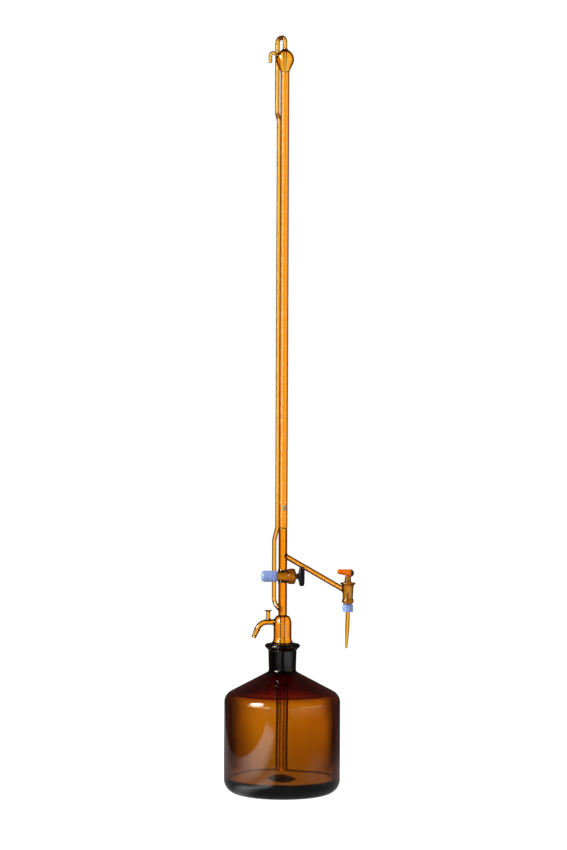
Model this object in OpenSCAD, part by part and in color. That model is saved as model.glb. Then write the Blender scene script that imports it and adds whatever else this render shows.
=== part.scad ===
// Automatic burette of amber glass on its reservoir bottle.
// Air blown in at the hose nozzle drives the liquid up the dip tube and the riser, over the top loop
// and into the overflow bulb, where the zero tip sets the level. The drain cock lets the tube back
// into the bottle, and the delivery cock at the end of the side arm lets it out through the tip.
// Millimetres, +Z up, origin at the centre of the bottle's foot. The side arm points to +X.

/* [Reservoir bottle] */
// Outer diameter of the body
bottle_d = 145; // [120:1:170]
// Height to the top of the rim
bottle_h = 186; // [165:1:220]
// Thickness of the wall
bottle_wall = 4; // [2:0.1:4.5]
// Radius of the outer foot corner
foot_round = 17; // [10:0.5:22]
// Radius of the outer shoulder corner
shoulder_round = 15; // [8:0.5:20]
// Fall of the shoulder below the level, in degrees
shoulder_fall = 28; // [20:0.5:35]
// Height of the neck above the shoulder
neck_h = 34.5; // [34:0.5:40]
// Outer diameter of the neck at the shoulder
neck_d = 34; // [33:0.1:40]
// Outer diameter of the neck under the rim
neck_top_d = 35.6; // [34.5:0.1:41]
// Outer diameter of the rim
rim_d = 44; // [42:0.5:50]
// Radius of the rolled edge of the rim
rim_round = 2.6; // [1.5:0.1:3]
// Diameter of the hollow pushed up into the foot
punt_d = 92; // [60:1:96]
// Height of the hollow in the foot
punt_rise = 12; // [6:0.5:18]
// Thickness of the glass over the hollow
punt_wall = 4.5; // [3:0.5:7]

/* [Ground joint] */
// Diameter of the ground cone at its wide end
joint_d = 29.2; // [28:0.1:30]
// Length of the ground cone
joint_len = 32; // [28:0.5:33]
// Change of diameter for each millimetre of length, on the joint and on both cocks
taper = 0.1; // [0.08:0.01:0.12]
// Depth of the cone's wide end below the rim
joint_sink = 1.2; // [0.5:0.1:2]
// Gap between ground faces
ground_gap = 0.05; // [0.03:0.01:0.08]
// Thickness of the cone and of the bell above it
bell_wall = 1.8; // [1.2:0.1:2.4]
// Outer diameter of the bell
bell_d = 22.6; // [20:0.1:26]
// Height of the bell's straight foot above the wide end of the cone
bell_foot = 9.5; // [7:0.5:14]
// Height of the bell's rounded top above its straight foot
bell_round_z = 16.5; // [12:0.5:24]
// Height of the rounded top
bell_crown = 10.5; // [7:0.5:14]

/* [Tubes in the bottle] */
// Outer diameter of the dip tube
dip_d = 7.4; // [6.4:0.1:8.4]
// Bore of the dip tube
dip_bore = 4.6; // [3:0.1:5]
// Outer diameter of the sleeve round the dip tube
sleeve_d = 14.4; // [13:0.1:17]
// Thickness of the sleeve
sleeve_wall = 1.4; // [1:0.1:1.8]
// Height of the funnel that joins the sleeve to the cone
sleeve_funnel = 12; // [8:0.5:18]
// Room between the tube ends and the floor of the bottle
dip_room = 11.5; // [6:0.5:30]

/* [Hose nozzle and vent] */
// Outer diameter of the nozzle
nozzle_d = 7; // [6.4:0.1:8]
// Bore of the nozzle
nozzle_bore = 3.8; // [3:0.1:4.2]
// Height of the nozzle above the start of the bell's rounded top
nozzle_rise = 2; // [0:0.5:3]
// Level run of the nozzle, from the burette's axis to the corner of its bend
nozzle_reach = 27.6; // [27:0.1:36]
// Radius of the nozzle's bend
nozzle_bend = 13; // [10:0.5:14]
// Fall of the nozzle's end below the level, in degrees
nozzle_fall = 66; // [50:1:75]
// Length of the nozzle from the corner of its bend to the end
nozzle_drop = 21.5; // [19:0.5:30]
// Diameter of the plain end that a hose is pushed on
nozzle_end_d = 6; // [5.4:0.1:6.3]
// Length of the plain end
nozzle_end_len = 5; // [4:0.5:5.5]
// Height of each ring that grips the hose
barb_rise = 0.9; // [0.6:0.1:1.2]
// Distance of the vent from the burette's axis
vent_reach = 17.9; // [17:0.1:18.5]
// Outer diameter of the vent
vent_d = 5.3; // [4.6:0.1:6]
// Bore of the vent
vent_bore = 2.8; // [2:0.1:3.2]
// Height of the vent above the nozzle's axis
vent_h = 15; // [9:0.5:22]
// Diameter of the vent's flange, which a finger closes
vent_flange_d = 9.2; // [8:0.1:11]
// Thickness of the flange
vent_flange_t = 1.2; // [0.8:0.1:2]

/* [Main tube] */
// Outer diameter of the tube below and above the drain cock
feed_d = 11; // [10:0.1:12]
// Bore of the tube below and above the drain cock
feed_bore = 6; // [5:0.1:7]
// Height of the drain cock's axis above the bell
lower_len = 48.8; // [44:0.1:70]
// Height of the seam under the graduated tube above the drain cock's axis
feed_len = 60.6; // [55:0.1:80]
// Outer diameter of the graduated tube
scale_d = 11.2; // [10.5:0.1:12.4]
// Bore of the graduated tube
scale_bore = 7.7; // [7:0.1:8.2]
// Length of the graduated tube
scale_len = 570; // [400:1:640]

/* [Overflow bulb] */
// Largest diameter of the bulb
bulb_d = 22.8; // [19:0.1:23.2]
// Height of the bulb
bulb_h = 28; // [24:0.5:34]
// Height of the bulb's rounded upper part, from its widest ring
bulb_crown = 12.3; // [10:0.1:14]
// Thickness of the bulb's wall
bulb_wall = 1.3; // [0.9:0.1:1.8]
// Length of the zero tip inside the bulb
zero_len = 24; // [14:0.5:26]
// Outer diameter of the zero tip at its root
zero_d = 4.4; // [4.2:0.1:5]
// Outer diameter of the zero tip at its end
zero_end_d = 2.6; // [2.2:0.1:3]
// Bore of the zero tip
zero_bore = 1.8; // [1:0.1:2]
// Outer diameter of the vent hook
hook_d = 4.6; // [4:0.1:5]
// Bore of the vent hook
hook_bore = 2.6; // [2:0.1:2.8]
// Distance of the hook's hanging end from the burette's axis
hook_reach = 18.2; // [17.6:0.1:22]
// Radius of the hook's bend
hook_bend = 3.6; // [3.2:0.1:3.8]
// Rise of the hook's root above the level, in degrees
hook_rise = 40; // [35:1:45]
// Length of the hook's hanging end below the corner of its bend
hook_drop = 16.5; // [13:0.5:22]

/* [Riser] */
// Outer diameter of the riser
riser_d = 5.6; // [5:0.1:5.8]
// Bore of the riser
riser_bore = 3.2; // [2.6:0.1:3.4]
// Radius of the riser's bends
riser_bend = 14; // [8:0.5:15]
// Height of the riser's root above the bell, on the burette's axis
riser_root = 3; // [2:0.5:5]
// Rise of the riser's root bend above its root
riser_root_rise = 12; // [10:0.5:16]
// Distance of the riser to the left of the axis beside the drain cock
riser_side = 10.9; // [9:0.1:14]
// Distance of the riser behind the axis beside the drain cock
riser_back = 11.7; // [11.5:0.1:14]
// Height at which the riser closes up to the main tube, below the seam
riser_close = 16; // [12:0.5:24]
// Room between the riser and the tubes that it runs beside
riser_room = 0.3; // [0.2:0.05:1]
// Bearing of the riser's long run from the axis, in degrees
riser_bearing = 144.5; // [135:0.5:155]
// Bearing of the riser's run past the bulb, in degrees
riser_top_bearing = 131; // [128:0.5:150]
// Height below the top of the graduated tube where the riser swings out past the bulb
riser_swing = 60; // [40:1:90]
// Height of the swing
riser_swing_h = 10; // [8:0.5:30]
// Radius of the swing's bends
riser_swing_bend = 8; // [5:0.5:8]
// Height of the loop's crown above the bulb
loop_rise = 15.7; // [14:0.1:24]
// Radius of the loop's bends
loop_bend = 6.4; // [5:0.1:6.6]

/* [Side arm] */
// Distance of the delivery cock from the burette's axis
arm_reach = 86.8; // [70:0.1:110]
// Turn of the arm towards the front, in degrees
arm_yaw = 22; // [20:0.5:40]
// Height of the arm's root above the drain cock's axis
arm_root = 27.1; // [26:0.1:34]
// Fall of the arm from its root to the delivery cock
arm_fall = 44; // [20:0.5:46]
// Outer diameter of the arm
arm_d = 6.6; // [5.6:0.1:7.2]
// Bore of the arm
arm_bore = 3.2; // [2:0.1:3.6]

/* [Drain cock] */
// Length of the barrel towards the nut
drain_near = 6.2; // [6:0.1:9]
// Length of the barrel towards the handle
drain_far = 15.8; // [13:0.1:22]
// Outer diameter of the barrel where the tubes join it
drain_d = 16.4; // [15:0.1:18]
// Diameter of the collar at the handle's end
drain_collar_d = 19.4; // [18:0.1:21]
// Diameter of the plug at its wide end
drain_plug_d = 12.4; // [11:0.1:13]
// Bore through the plug
drain_port = 3; // [2:0.1:3.4]
// Diameter of the stem between plug and handle
drain_stem_d = 7; // [5:0.1:7.6]
// Room between the collar and the handle
drain_stem_len = 2.8; // [2:0.1:6]
// Length of the handle across the key
drain_handle_len = 24.8; // [18:0.1:25.6]
// Width of the handle along the key
drain_handle_w = 9; // [8.6:0.1:11]
// Thickness of the handle
drain_handle_t = 7.6; // [6:0.1:10]
// Diameter of the nut
drain_nut_d = 14.2; // [12:0.1:15.4]
// Length of the nut
drain_nut_len = 15.6; // [12:0.1:20]
// Diameter of the washer
drain_washer_d = 14.8; // [13:0.1:16]
// Thickness of the washer
drain_washer_t = 3.7; // [2:0.1:4.5]
// Diameter of the threaded end of the key
drain_stud_d = 6; // [4.6:0.1:7]

/* [Delivery cock] */
// Height of the barrel above the arm's entry
delivery_up = 11.6; // [9:0.1:13]
// Depth of the barrel below the arm's entry
delivery_down = 14; // [12:0.1:22]
// Outer diameter of the barrel under its flange
delivery_d = 14.6; // [13.4:0.1:16]
// Outer diameter of the barrel's waist
delivery_waist_d = 12.6; // [11.6:0.1:13.2]
// Diameter of the flange
delivery_flange_d = 18.8; // [16:0.1:20]
// Thickness of the flange
delivery_flange_t = 2.3; // [1.5:0.1:3]
// Diameter of the ring at the barrel's lower end
delivery_ring_d = 14.9; // [13.4:0.1:16]
// Diameter of the plug at its wide end
delivery_plug_d = 10.8; // [10:0.1:11]
// Bore of the plug and of the tip's root
delivery_port = 2.5; // [1.6:0.1:2.6]
// Diameter of the stem between plug and handle
delivery_stem_d = 8.4; // [6:0.1:9]
// Length of the stem above the barrel, to the middle of the handle
delivery_stem_len = 11.8; // [11:0.1:16]
// Length of the lever from the key's axis
lever_len = 13.6; // [11:0.1:20]
// Diameter of the lever at the key
lever_d = 9.8; // [9.4:0.1:11]
// Diameter of the lever at its end
lever_end_d = 6.6; // [5:0.1:8]
// Rise of the lever's end above its root
lever_rise = 1.7; // [0:0.1:3]
// Width of the lever as a share of its height
lever_flat = 0.8; // [0.7:0.05:1]
// Distance that the lever's root lies past the key's axis
lever_past = 2.8; // [0:0.1:3]
// Diameter of the nut
delivery_nut_d = 13.2; // [11:0.1:14]
// Height of the nut
delivery_nut_len = 8.1; // [6:0.1:12]
// Diameter of the washer
delivery_washer_d = 12.4; // [11:0.1:14]
// Thickness of the washer
delivery_washer_t = 1; // [0.8:0.1:2]
// Diameter of the threaded end of the key
delivery_stud_d = 6.6; // [5.6:0.1:7]
// Length of the tip below the key
tip_len = 45; // [30:0.5:70]
// Outer diameter of the tip at its root
tip_d = 5.2; // [4.4:0.1:5.4]
// Length of the tip's straight part
tip_straight = 22; // [8:0.5:28]
// Outer diameter of the tip at its end
tip_end_d = 2.8; // [2:0.1:3.4]
// Bore of the tip at its end
tip_end_bore = 1.2; // [0.8:0.1:1.4]

/* [Seals and threads] */
// Thickness of the sealing rings
seal_t = 1.4; // [1:0.1:1.8]
// Running gap of nuts and washers on the keys
run_gap = 0.05; // [0.03:0.01:0.08]
// Gap between faces that turn against each other
face_gap = 0.1; // [0.05:0.01:0.2]
// Flat on the threaded ends, measured from the axis as a share of the radius
stud_flat = 0.8; // [0.7:0.01:0.9]
// Travel of a nut and its washer in one turn
thread_pitch = 1.5; // [1:0.1:2]
// Number of flutes round a nut
nut_flutes = 20; // [12:1:28]
// Radius of a flute
flute_r = 0.7; // [0.4:0.05:0.8]

/* [Hidden] */
$fn = 64;

amber = "#e89a1c";
dark_amber = "#6b2c04";
nut_blue = "#8ea6e0";
pale_plastic = "#c9cce6";
seal_grey = "#8d8a8c";
black_plastic = "#1c191f";

// How far a straight run reaches into a bend, and how much thicker the bend's wall is on each face
bend_lap = 0.4;
bend_swell = 0.05;
// How far a cutting shape reaches past what it cuts
cut = 1;
// Points on a rounded corner of a turned outline
arc_steps = 10;

bottle_r = bottle_d / 2;
neck_r = neck_d / 2;
neck_foot_z = bottle_h - neck_h;
fall_s = sin(shoulder_fall);
fall_c = cos(shoulder_fall);
shoulder_c = [
    bottle_r - shoulder_round,
    neck_foot_z - (shoulder_round + (bottle_r - shoulder_round - neck_r) * fall_s) / fall_c
];
foot_c = [bottle_r - foot_round, foot_round];
punt_r = punt_d / 2;
punt_sphere = (punt_r * punt_r + punt_rise * punt_rise) / (2 * punt_rise);
floor_z = punt_rise + punt_wall;
neck_fillet = 3;
// Where the rim's roll begins below its own middle, and the height of the slope under it
rim_start_a = -60;
rim_drop = 3 * rim_round;

gauge_z = bottle_h - joint_sink;
cone_z = gauge_z - joint_len;
bell_r = bell_d / 2;
bell_foot_z = gauge_z + bell_foot;
// Height of the straight skirt between the rim and the bell's flare
bell_skirt = 1;
bell_round = gauge_z + bell_foot + bell_round_z;
bell_top = bell_round + bell_crown;
feed_r = feed_d / 2;
dip_end_z = floor_z + dip_room;

drain_z = bell_top + lower_len;
seam_z = drain_z + feed_len;
tube_top = seam_z + scale_len;
bulb_top = tube_top + bulb_h;
bulb_mid = bulb_top - bulb_crown;
bulb_neck_a = 75;
bulb_low_a = -35;
bulb_r = bulb_d / 2;

nozzle_z = bell_round + nozzle_rise;
nozzle_r = nozzle_d / 2;
nozzle_dir = [-cos(nozzle_fall), 0, -sin(nozzle_fall)];
nozzle_corner = [-nozzle_reach, 0, nozzle_z];
nozzle_tip = nozzle_corner + nozzle_drop * nozzle_dir;
// Half the flat top of a grip ring, as a share of the ring's length
crest_share = 0.1;

arm_z = drain_z + arm_root;
delivery_pos = [arm_reach * cos(arm_yaw), -arm_reach * sin(arm_yaw), arm_z - arm_fall];
arm_start = [0, 0, arm_z];

riser_r = riser_d / 2;
riser_near = scale_d / 2 + riser_r + riser_room;
riser_far = bulb_r + riser_r + riser_room;
riser_low = [-riser_side, riser_back];
riser_run = riser_near * [cos(riser_bearing), sin(riser_bearing)];
riser_top = riser_far * [cos(riser_top_bearing), sin(riser_top_bearing)];
riser_start = [0, 0, bell_top + riser_root];
riser_pts = [
    riser_start,
    [riser_low[0], riser_low[1], riser_start[2] + riser_root_rise],
    [riser_low[0], riser_low[1], seam_z - riser_close],
    [riser_run[0], riser_run[1], seam_z],
    [riser_run[0], riser_run[1], tube_top - riser_swing],
    [riser_top[0], riser_top[1], tube_top - riser_swing + riser_swing_h],
    [riser_top[0], riser_top[1], bulb_top]
];
riser_bends = [
    for (i = [0:len(riser_pts) - 1])
        riser_pts[i][2] < tube_top - riser_swing ? riser_bend : riser_swing_bend
];
loop_z = bulb_top + loop_rise;
loop_pts = [
    [riser_top[0], riser_top[1], bulb_top],
    [riser_top[0], riser_top[1], loop_z],
    [0, 0, loop_z],
    [0, 0, bulb_top]
];
hook_corner_z = bulb_mid + hook_reach * tan(hook_rise) - bulb_crown / 4;
hook_pts = [
    [0, 0, bulb_mid - bulb_crown / 4],
    [-hook_reach, 0, hook_corner_z],
    [-hook_reach, 0, hook_corner_z - hook_drop]
];

// Along the drain cock's axis, from the main tube towards the handle
drain_plug_end = drain_far + face_gap;
drain_seal_at = -drain_near - face_gap - seal_t;
drain_washer_at = drain_seal_at - face_gap - drain_washer_t;
drain_nut_at = drain_washer_at - face_gap - drain_nut_len;
drain_handle_at = drain_far + drain_stem_len;
drain_nut_wall = 2.2;
drain_spigot_step = 0.4;
drain_spigot_r = plug_r(drain_plug_d, drain_plug_end, -drain_near) - drain_spigot_step;
// Step from the main tube to the collar, the corner at the barrel's thin end, and the collar's roll
collar_step = 0.6;
barrel_edge = 0.6;
collar_start_a = -30;
collar_end_a = 75;
// Room between the stud's end and the closed end of the nut
stud_room = 0.6;
// Height of the slope between a plug and its stem
plug_slope = 0.8;

// Along the delivery cock's axis, upwards from the arm's entry
delivery_plug_end = delivery_up + face_gap;
delivery_seal_share = 0.7;
delivery_seal_t = seal_t * delivery_seal_share;
delivery_seal_at = -delivery_down - face_gap - delivery_seal_t;
delivery_washer_at = delivery_seal_at - face_gap - delivery_washer_t;
delivery_nut_at = delivery_washer_at - face_gap - delivery_nut_len;
// The ring near the barrel's lower end: how far up it is, its height, its corners and the slopes beside it
delivery_ring_lift = 2;
delivery_ring_h = 2.4;
delivery_ring_edge = 0.3;
delivery_foot_step = 1.2;
delivery_waist_drop = 2.2;
delivery_ring_z = -delivery_down + delivery_ring_lift;
delivery_waist_z = delivery_ring_z + delivery_ring_h + delivery_waist_drop;
// Height of the slope under the upper flange
flange_slope = 1;
delivery_spigot_step = 0.3;
delivery_spigot_r = plug_r(delivery_plug_d, delivery_plug_end, -delivery_down) - delivery_spigot_step;
lever_z = delivery_up + delivery_stem_len;
stem_socket = 3;

function unit(v) = v / norm(v);
function turn(a, b) = acos(max(-1, min(1, a * b)));
function arc(c, r, from, to, steps = arc_steps) =
    [for (i = [0:steps]) c + r * [cos(from + (to - from) * i / steps), sin(from + (to - from) * i / steps)]];
function ellipse_arc(c, a, b, from, to, steps = arc_steps) =
    [for (i = [0:steps]) c + [a * cos(from + (to - from) * i / steps), b * sin(from + (to - from) * i / steps)]];
// Radius of a ground cone of diameter d at height end, measured at height at
function plug_r(d, end, at) = d / 2 - (end - at) * taper / 2;
// Radius of the joint's cone at height z
function cone_r(z) = joint_d / 2 - (gauge_z - z) * taper / 2;
// Height of the shoulder's face at radius r, sunk into the glass by depth
function shoulder_z(r, depth) = neck_foot_z - (depth + (r - neck_r) * fall_s) / fall_c;

module ring(outer, inner) {
    difference() {
        circle(r = outer);
        circle(r = inner);
    }
}

// Puts the local z axis along d, at p
module along(p, d) {
    side = abs(d[2]) > 0.9 ? [1, 0, 0] : [0, 0, 1];
    x = unit(cross(side, d));
    y = cross(d, x);
    multmatrix([
        [x[0], y[0], d[0], p[0]],
        [x[1], y[1], d[1], p[1]],
        [x[2], y[2], d[2], p[2]]
    ]) children();
}

module rod(p, q, r) {
    along(p, unit(q - p))
        cylinder(r = r, h = norm(q - p));
}

// A tube through the points, with a round bend at each inner one
module bent_tube(pts, bend, outer, inner) {
    last = len(pts) - 1;
    dirs = [for (i = [0:last - 1]) unit(pts[i + 1] - pts[i])];
    turns = [for (i = [0:last]) i == 0 || i == last ? 0 : turn(dirs[i - 1], dirs[i])];
    bends = [for (i = [0:last]) is_list(bend) ? bend[i] : bend];
    trims = [for (i = [0:last]) bends[i] * tan(turns[i] / 2)];
    for (i = [0:last - 1]) {
        lap_in = i == 0 ? 0 : bend_lap;
        lap_out = i == last - 1 ? 0 : bend_lap;
        run = norm(pts[i + 1] - pts[i]) - trims[i] - trims[i + 1];
        along(pts[i] + (trims[i] - lap_in) * dirs[i], dirs[i])
            linear_extrude(run + lap_in + lap_out)
                ring(outer, inner);
    }
    for (i = [1:last - 1]) {
        y = dirs[i - 1];
        x = unit((dirs[i] * y) * y - dirs[i]);
        z = cross(x, y);
        c = pts[i] - trims[i] * y - bends[i] * x;
        multmatrix([
            [x[0], y[0], z[0], c[0]],
            [x[1], y[1], z[1], c[1]],
            [x[2], y[2], z[2], c[2]]
        ])
            rotate_extrude(angle = turns[i])
                translate([bends[i], 0])
                    ring(outer + bend_swell, inner - bend_swell);
    }
}

module in_drain() {
    translate([0, 0, drain_z])
        rotate([0, 90, 0])
            children();
}

module in_delivery() {
    translate(delivery_pos)
        children();
}

module reservoir_bottle() {
    socket_low = cone_r(cone_z) + ground_gap;
    mouth = cone_r(gauge_z) + ground_gap;
    fillet_c = [neck_r + neck_fillet, neck_foot_z + neck_fillet * (1 - fall_s) / fall_c];
    rim_c = [rim_d / 2 - rim_round, bottle_h - rim_round];
    dome_c = [0, punt_rise - punt_sphere];
    dome_edge = asin((punt_sphere - punt_rise) / punt_sphere);
    inner_sphere = punt_sphere + punt_wall;
    inner_edge = asin((bottle_wall - dome_c[1]) / inner_sphere);
    socket_z = shoulder_z(socket_low, bottle_wall);
    outline = concat(
        arc(dome_c, punt_sphere, 90, dome_edge),
        arc(foot_c, foot_round, -90, 0),
        arc(shoulder_c, shoulder_round, 0, 90 - shoulder_fall),
        arc(fillet_c, neck_fillet, 270 - shoulder_fall, 180, 5),
        [[neck_top_d / 2, bottle_h - rim_drop]],
        arc(rim_c, rim_round, rim_start_a, 90),
        [[mouth + joint_sink, bottle_h], [mouth, gauge_z]],
        [[socket_low, cone_z], [socket_low, socket_z]],
        arc(shoulder_c, shoulder_round - bottle_wall, 90 - shoulder_fall, 0),
        arc(foot_c, foot_round - bottle_wall, 0, -90),
        arc(dome_c, inner_sphere, inner_edge, 90)
    );
    color(dark_amber)
        rotate_extrude()
            polygon(outline);
}

// The bell and the ground cone below it, as a solid
module bell_body(inset) {
    flare = cone_r(gauge_z) - bell_r;
    rotate_extrude()
        polygon(concat(
            [[0, cone_z], [cone_r(cone_z) - inset, cone_z]],
            [[cone_r(gauge_z) - inset, gauge_z]],
            ellipse_arc([bell_r + flare - inset, bell_foot_z], flare, bell_foot - joint_sink - bell_skirt, 270, 180, 6),
            ellipse_arc([feed_r, bell_round], bell_r - feed_r - inset, bell_crown - inset, 0, 90),
            [[0, bell_top - inset]]
        ));
}

module joint_head() {
    color(amber)
        difference() {
            bell_body(0);
            difference() {
                bell_body(bell_wall);
                translate([0, 0, bell_top - bell_wall])
                    cylinder(r = dip_d, h = bell_wall);
            }
            translate([0, 0, cone_z - cut])
                cylinder(r = cone_r(cone_z) - bell_wall, h = 2 * cut);
            translate([0, 0, bell_top - bell_wall - cut])
                cylinder(d = dip_bore, h = bell_wall + 2 * cut);
            rod([-feed_r, 0, nozzle_z], [-bell_r - cut, 0, nozzle_z], nozzle_bore / 2);
        }
}

module dip_tube() {
    top = bell_top - bell_wall;
    color(amber)
        translate([0, 0, dip_end_z])
            linear_extrude(top - dip_end_z)
                ring(dip_d / 2, dip_bore / 2);
}

module dip_sleeve() {
    top_r = cone_r(cone_z);
    top_in = top_r - bell_wall;
    r = sleeve_d / 2;
    color(amber)
        rotate_extrude()
            polygon([
                [top_in, cone_z], [top_r, cone_z],
                [r, cone_z - sleeve_funnel], [r, dip_end_z],
                [r - sleeve_wall, dip_end_z], [r - sleeve_wall, cone_z - sleeve_funnel]
            ]);
}

module hose_nozzle() {
    bend_trim = nozzle_bend * tan(nozzle_fall / 2);
    grip = nozzle_drop - bend_trim;
    bore_r = nozzle_bore / 2;
    end_r = nozzle_end_d / 2;
    ring_len = (grip - nozzle_end_len) / 2;
    ring_r = end_r + barb_rise;
    crest = crest_share * ring_len;
    first_ring = nozzle_end_len + ring_len / 2;
    second_ring = first_ring + ring_len;
    rings_end = nozzle_end_len + 2 * ring_len - crest;
    color(amber)
        difference() {
            union() {
                bent_tube(
                    [[-feed_r, 0, nozzle_z], nozzle_corner, nozzle_tip - (nozzle_end_len + ring_len) * nozzle_dir],
                    nozzle_bend, nozzle_r, bore_r
                );
                along(nozzle_tip, -nozzle_dir)
                    rotate_extrude()
                        polygon([
                            [bore_r - bend_swell, 0], [end_r, 0], [end_r, nozzle_end_len],
                            [ring_r, first_ring - crest], [ring_r, first_ring + crest],
                            [end_r + barb_rise / 3, nozzle_end_len + ring_len - crest / 2],
                            [ring_r, second_ring - crest], [ring_r, second_ring + crest],
                            [nozzle_r + bend_swell, rings_end], [bore_r - bend_swell, rings_end]
                        ]);
            }
            bell_body(0);
            rod(
                [-vent_reach, 0, nozzle_z], [-vent_reach, 0, nozzle_z + nozzle_r + cut],
                vent_bore / 2
            );
        }
}

module vent_stub() {
    color(amber)
        difference() {
            translate([-vent_reach, 0, nozzle_z])
                rotate_extrude()
                    polygon([
                        [vent_bore / 2, 0], [vent_d / 2, 0], [vent_d / 2, vent_h - 2 * vent_flange_t],
                        [vent_flange_d / 2, vent_h - vent_flange_t], [vent_flange_d / 2, vent_h],
                        [vent_bore / 2, vent_h]
                    ]);
            rod([-bell_r, 0, nozzle_z], nozzle_corner, nozzle_r);
        }
}

module lower_tube() {
    color(amber)
        difference() {
            translate([0, 0, bell_top])
                linear_extrude(lower_len)
                    ring(feed_r, feed_bore / 2);
            in_drain()
                cylinder(d = drain_d, h = feed_d + 2 * cut, center = true);
            rod(riser_start, riser_pts[1], riser_bore / 2);
        }
}

module feed_tube() {
    color(amber)
        difference() {
            translate([0, 0, drain_z])
                linear_extrude(feed_len)
                    ring(feed_r, feed_bore / 2);
            in_drain()
                cylinder(d = drain_d, h = feed_d + 2 * cut, center = true);
            rod(arm_start, delivery_pos, arm_bore / 2);
        }
}

module graduated_tube() {
    color(amber)
        translate([0, 0, seam_z])
            linear_extrude(scale_len)
                ring(scale_d / 2, scale_bore / 2);
}

// The bulb's outer shape as a solid, or the shape inside its wall
module bulb_body(inset) {
    foot_r = scale_d / 2 - inset;
    rotate_extrude()
        polygon(concat(
            [[0, tube_top], [foot_r, tube_top]],
            ellipse_arc([0, bulb_mid], bulb_r - inset, bulb_crown - inset, bulb_low_a, bulb_neck_a, 14),
            [[riser_r, bulb_top - inset], [0, bulb_top - inset]]
        ));
}

module overflow_bulb() {
    color(amber)
        difference() {
            bulb_body(0);
            bulb_body(bulb_wall);
            translate([0, 0, tube_top - cut])
                cylinder(r = scale_d / 2 - bulb_wall, h = 2 * cut);
            translate([0, 0, bulb_top - bulb_wall - cut])
                cylinder(d = zero_bore, h = bulb_wall + 2 * cut);
            rod(hook_pts[0], hook_pts[1], hook_bore / 2);
        }
}

module zero_tip() {
    root = bulb_top - bulb_wall;
    color(amber)
        rotate_extrude()
            polygon([
                [zero_bore / 2, root], [zero_d / 2, root],
                [zero_d / 2, root - zero_len / 3], [zero_end_d / 2, root - zero_len],
                [zero_bore / 2, root - zero_len]
            ]);
}

module vent_hook() {
    color(amber)
        difference() {
            bent_tube(hook_pts, hook_bend, hook_d / 2, hook_bore / 2);
            bulb_body(0);
        }
}

module riser_tube() {
    color(amber)
        difference() {
            bent_tube(riser_pts, riser_bends, riser_r, riser_bore / 2);
            translate([0, 0, bell_top])
                cylinder(r = feed_r, h = lower_len);
        }
}

module top_loop() {
    color(amber)
        bent_tube(loop_pts, loop_bend, riser_r, riser_bore / 2);
}

module side_arm() {
    color(amber)
        difference() {
            rod(arm_start, delivery_pos, arm_d / 2);
            rod(arm_start, delivery_pos, arm_bore / 2);
            translate([0, 0, drain_z])
                cylinder(r = feed_r, h = feed_len);
            in_delivery()
                delivery_body();
        }
}

module drain_cock_barrel() {
    r = drain_d / 2;
    collar_r = drain_collar_d / 2;
    collar_at = feed_r + collar_step;
    collar_round = (drain_far - collar_at) / 3;
    near_r = plug_r(drain_plug_d, drain_plug_end, -drain_near) + ground_gap;
    far_r = plug_r(drain_plug_d, drain_plug_end, drain_far) + ground_gap;
    color(amber)
        in_drain()
            difference() {
                rotate_extrude()
                    polygon(concat(
                        [[near_r, -drain_near], [r - barrel_edge, -drain_near], [r, -drain_near + barrel_edge]],
                        [[r, collar_at]],
                        arc([collar_r - collar_round, collar_at + collar_round], collar_round, collar_start_a, 0, 4),
                        arc([collar_r - collar_round, drain_far - collar_round], collar_round, 0, collar_end_a, 6),
                        [[far_r, drain_far]]
                    ));
                rotate([0, 90, 0])
                    cylinder(d = drain_port, h = drain_d + 2 * cut, center = true);
            }
}

module drain_cock_key() {
    stud_r = drain_stud_d / 2;
    stud_end = drain_nut_at + drain_nut_wall + stud_room;
    plug_low = -drain_near - face_gap;
    color(amber)
        in_drain()
            difference() {
                rotate_extrude()
                    polygon([
                        [0, stud_end], [stud_r, stud_end], [stud_r, drain_seal_at],
                        [drain_spigot_r, drain_seal_at], [drain_spigot_r, plug_low],
                        [plug_r(drain_plug_d, drain_plug_end, plug_low), plug_low],
                        [drain_plug_d / 2, drain_plug_end],
                        [drain_stem_d / 2, drain_plug_end + plug_slope],
                        [drain_stem_d / 2, drain_handle_at + stem_socket],
                        [0, drain_handle_at + stem_socket]
                    ]);
                rotate([0, 90, 0])
                    cylinder(d = drain_port, h = drain_d, center = true);
                flat_cut(stud_r, drain_washer_at - thread_pitch - face_gap, drain_seal_at);
            }
}

// The flat on a key's end that turns the washer with it
module flat_cut(r, low, high) {
    translate([r * stud_flat, -r - cut, low])
        cube([r, 2 * (r + cut), high - low]);
}

// The flat-sided hole of a washer, with its running gap
module flat_hole(r) {
    difference() {
        circle(r = r + run_gap);
        translate([r * stud_flat + run_gap, -r - cut])
            square([r, 2 * (r + cut)]);
    }
}

module drain_cock_handle() {
    end_r = drain_handle_w / 2;
    reach = drain_handle_len / 2 - end_r;
    mid = drain_handle_at + end_r;
    color(black_plastic)
        in_drain()
            difference() {
                hull()
                    for (s = [-1, 1])
                        translate([s * reach, 0, mid])
                            scale([1, drain_handle_t / drain_handle_w, 1])
                                sphere(r = end_r, $fn = 32);
                translate([0, 0, drain_handle_at - cut])
                    cylinder(r = drain_stem_d / 2 + run_gap, h = stem_socket + cut);
            }
}

// A sealing ring of height t that sits on a spigot of radius r
module seal_ring(r, t, at) {
    translate([0, 0, at + t / 2])
        rotate_extrude()
            translate([r + run_gap + t / 2, 0])
                circle(d = t);
}

module drain_cock_seal() {
    color(seal_grey)
        in_drain()
            seal_ring(drain_spigot_r, seal_t, drain_seal_at);
}

module drain_cock_washer() {
    color(pale_plastic)
        in_drain()
            translate([0, 0, drain_washer_at])
                linear_extrude(drain_washer_t)
                    difference() {
                        circle(d = drain_washer_d);
                        flat_hole(drain_stud_d / 2);
                    }
}

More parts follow.
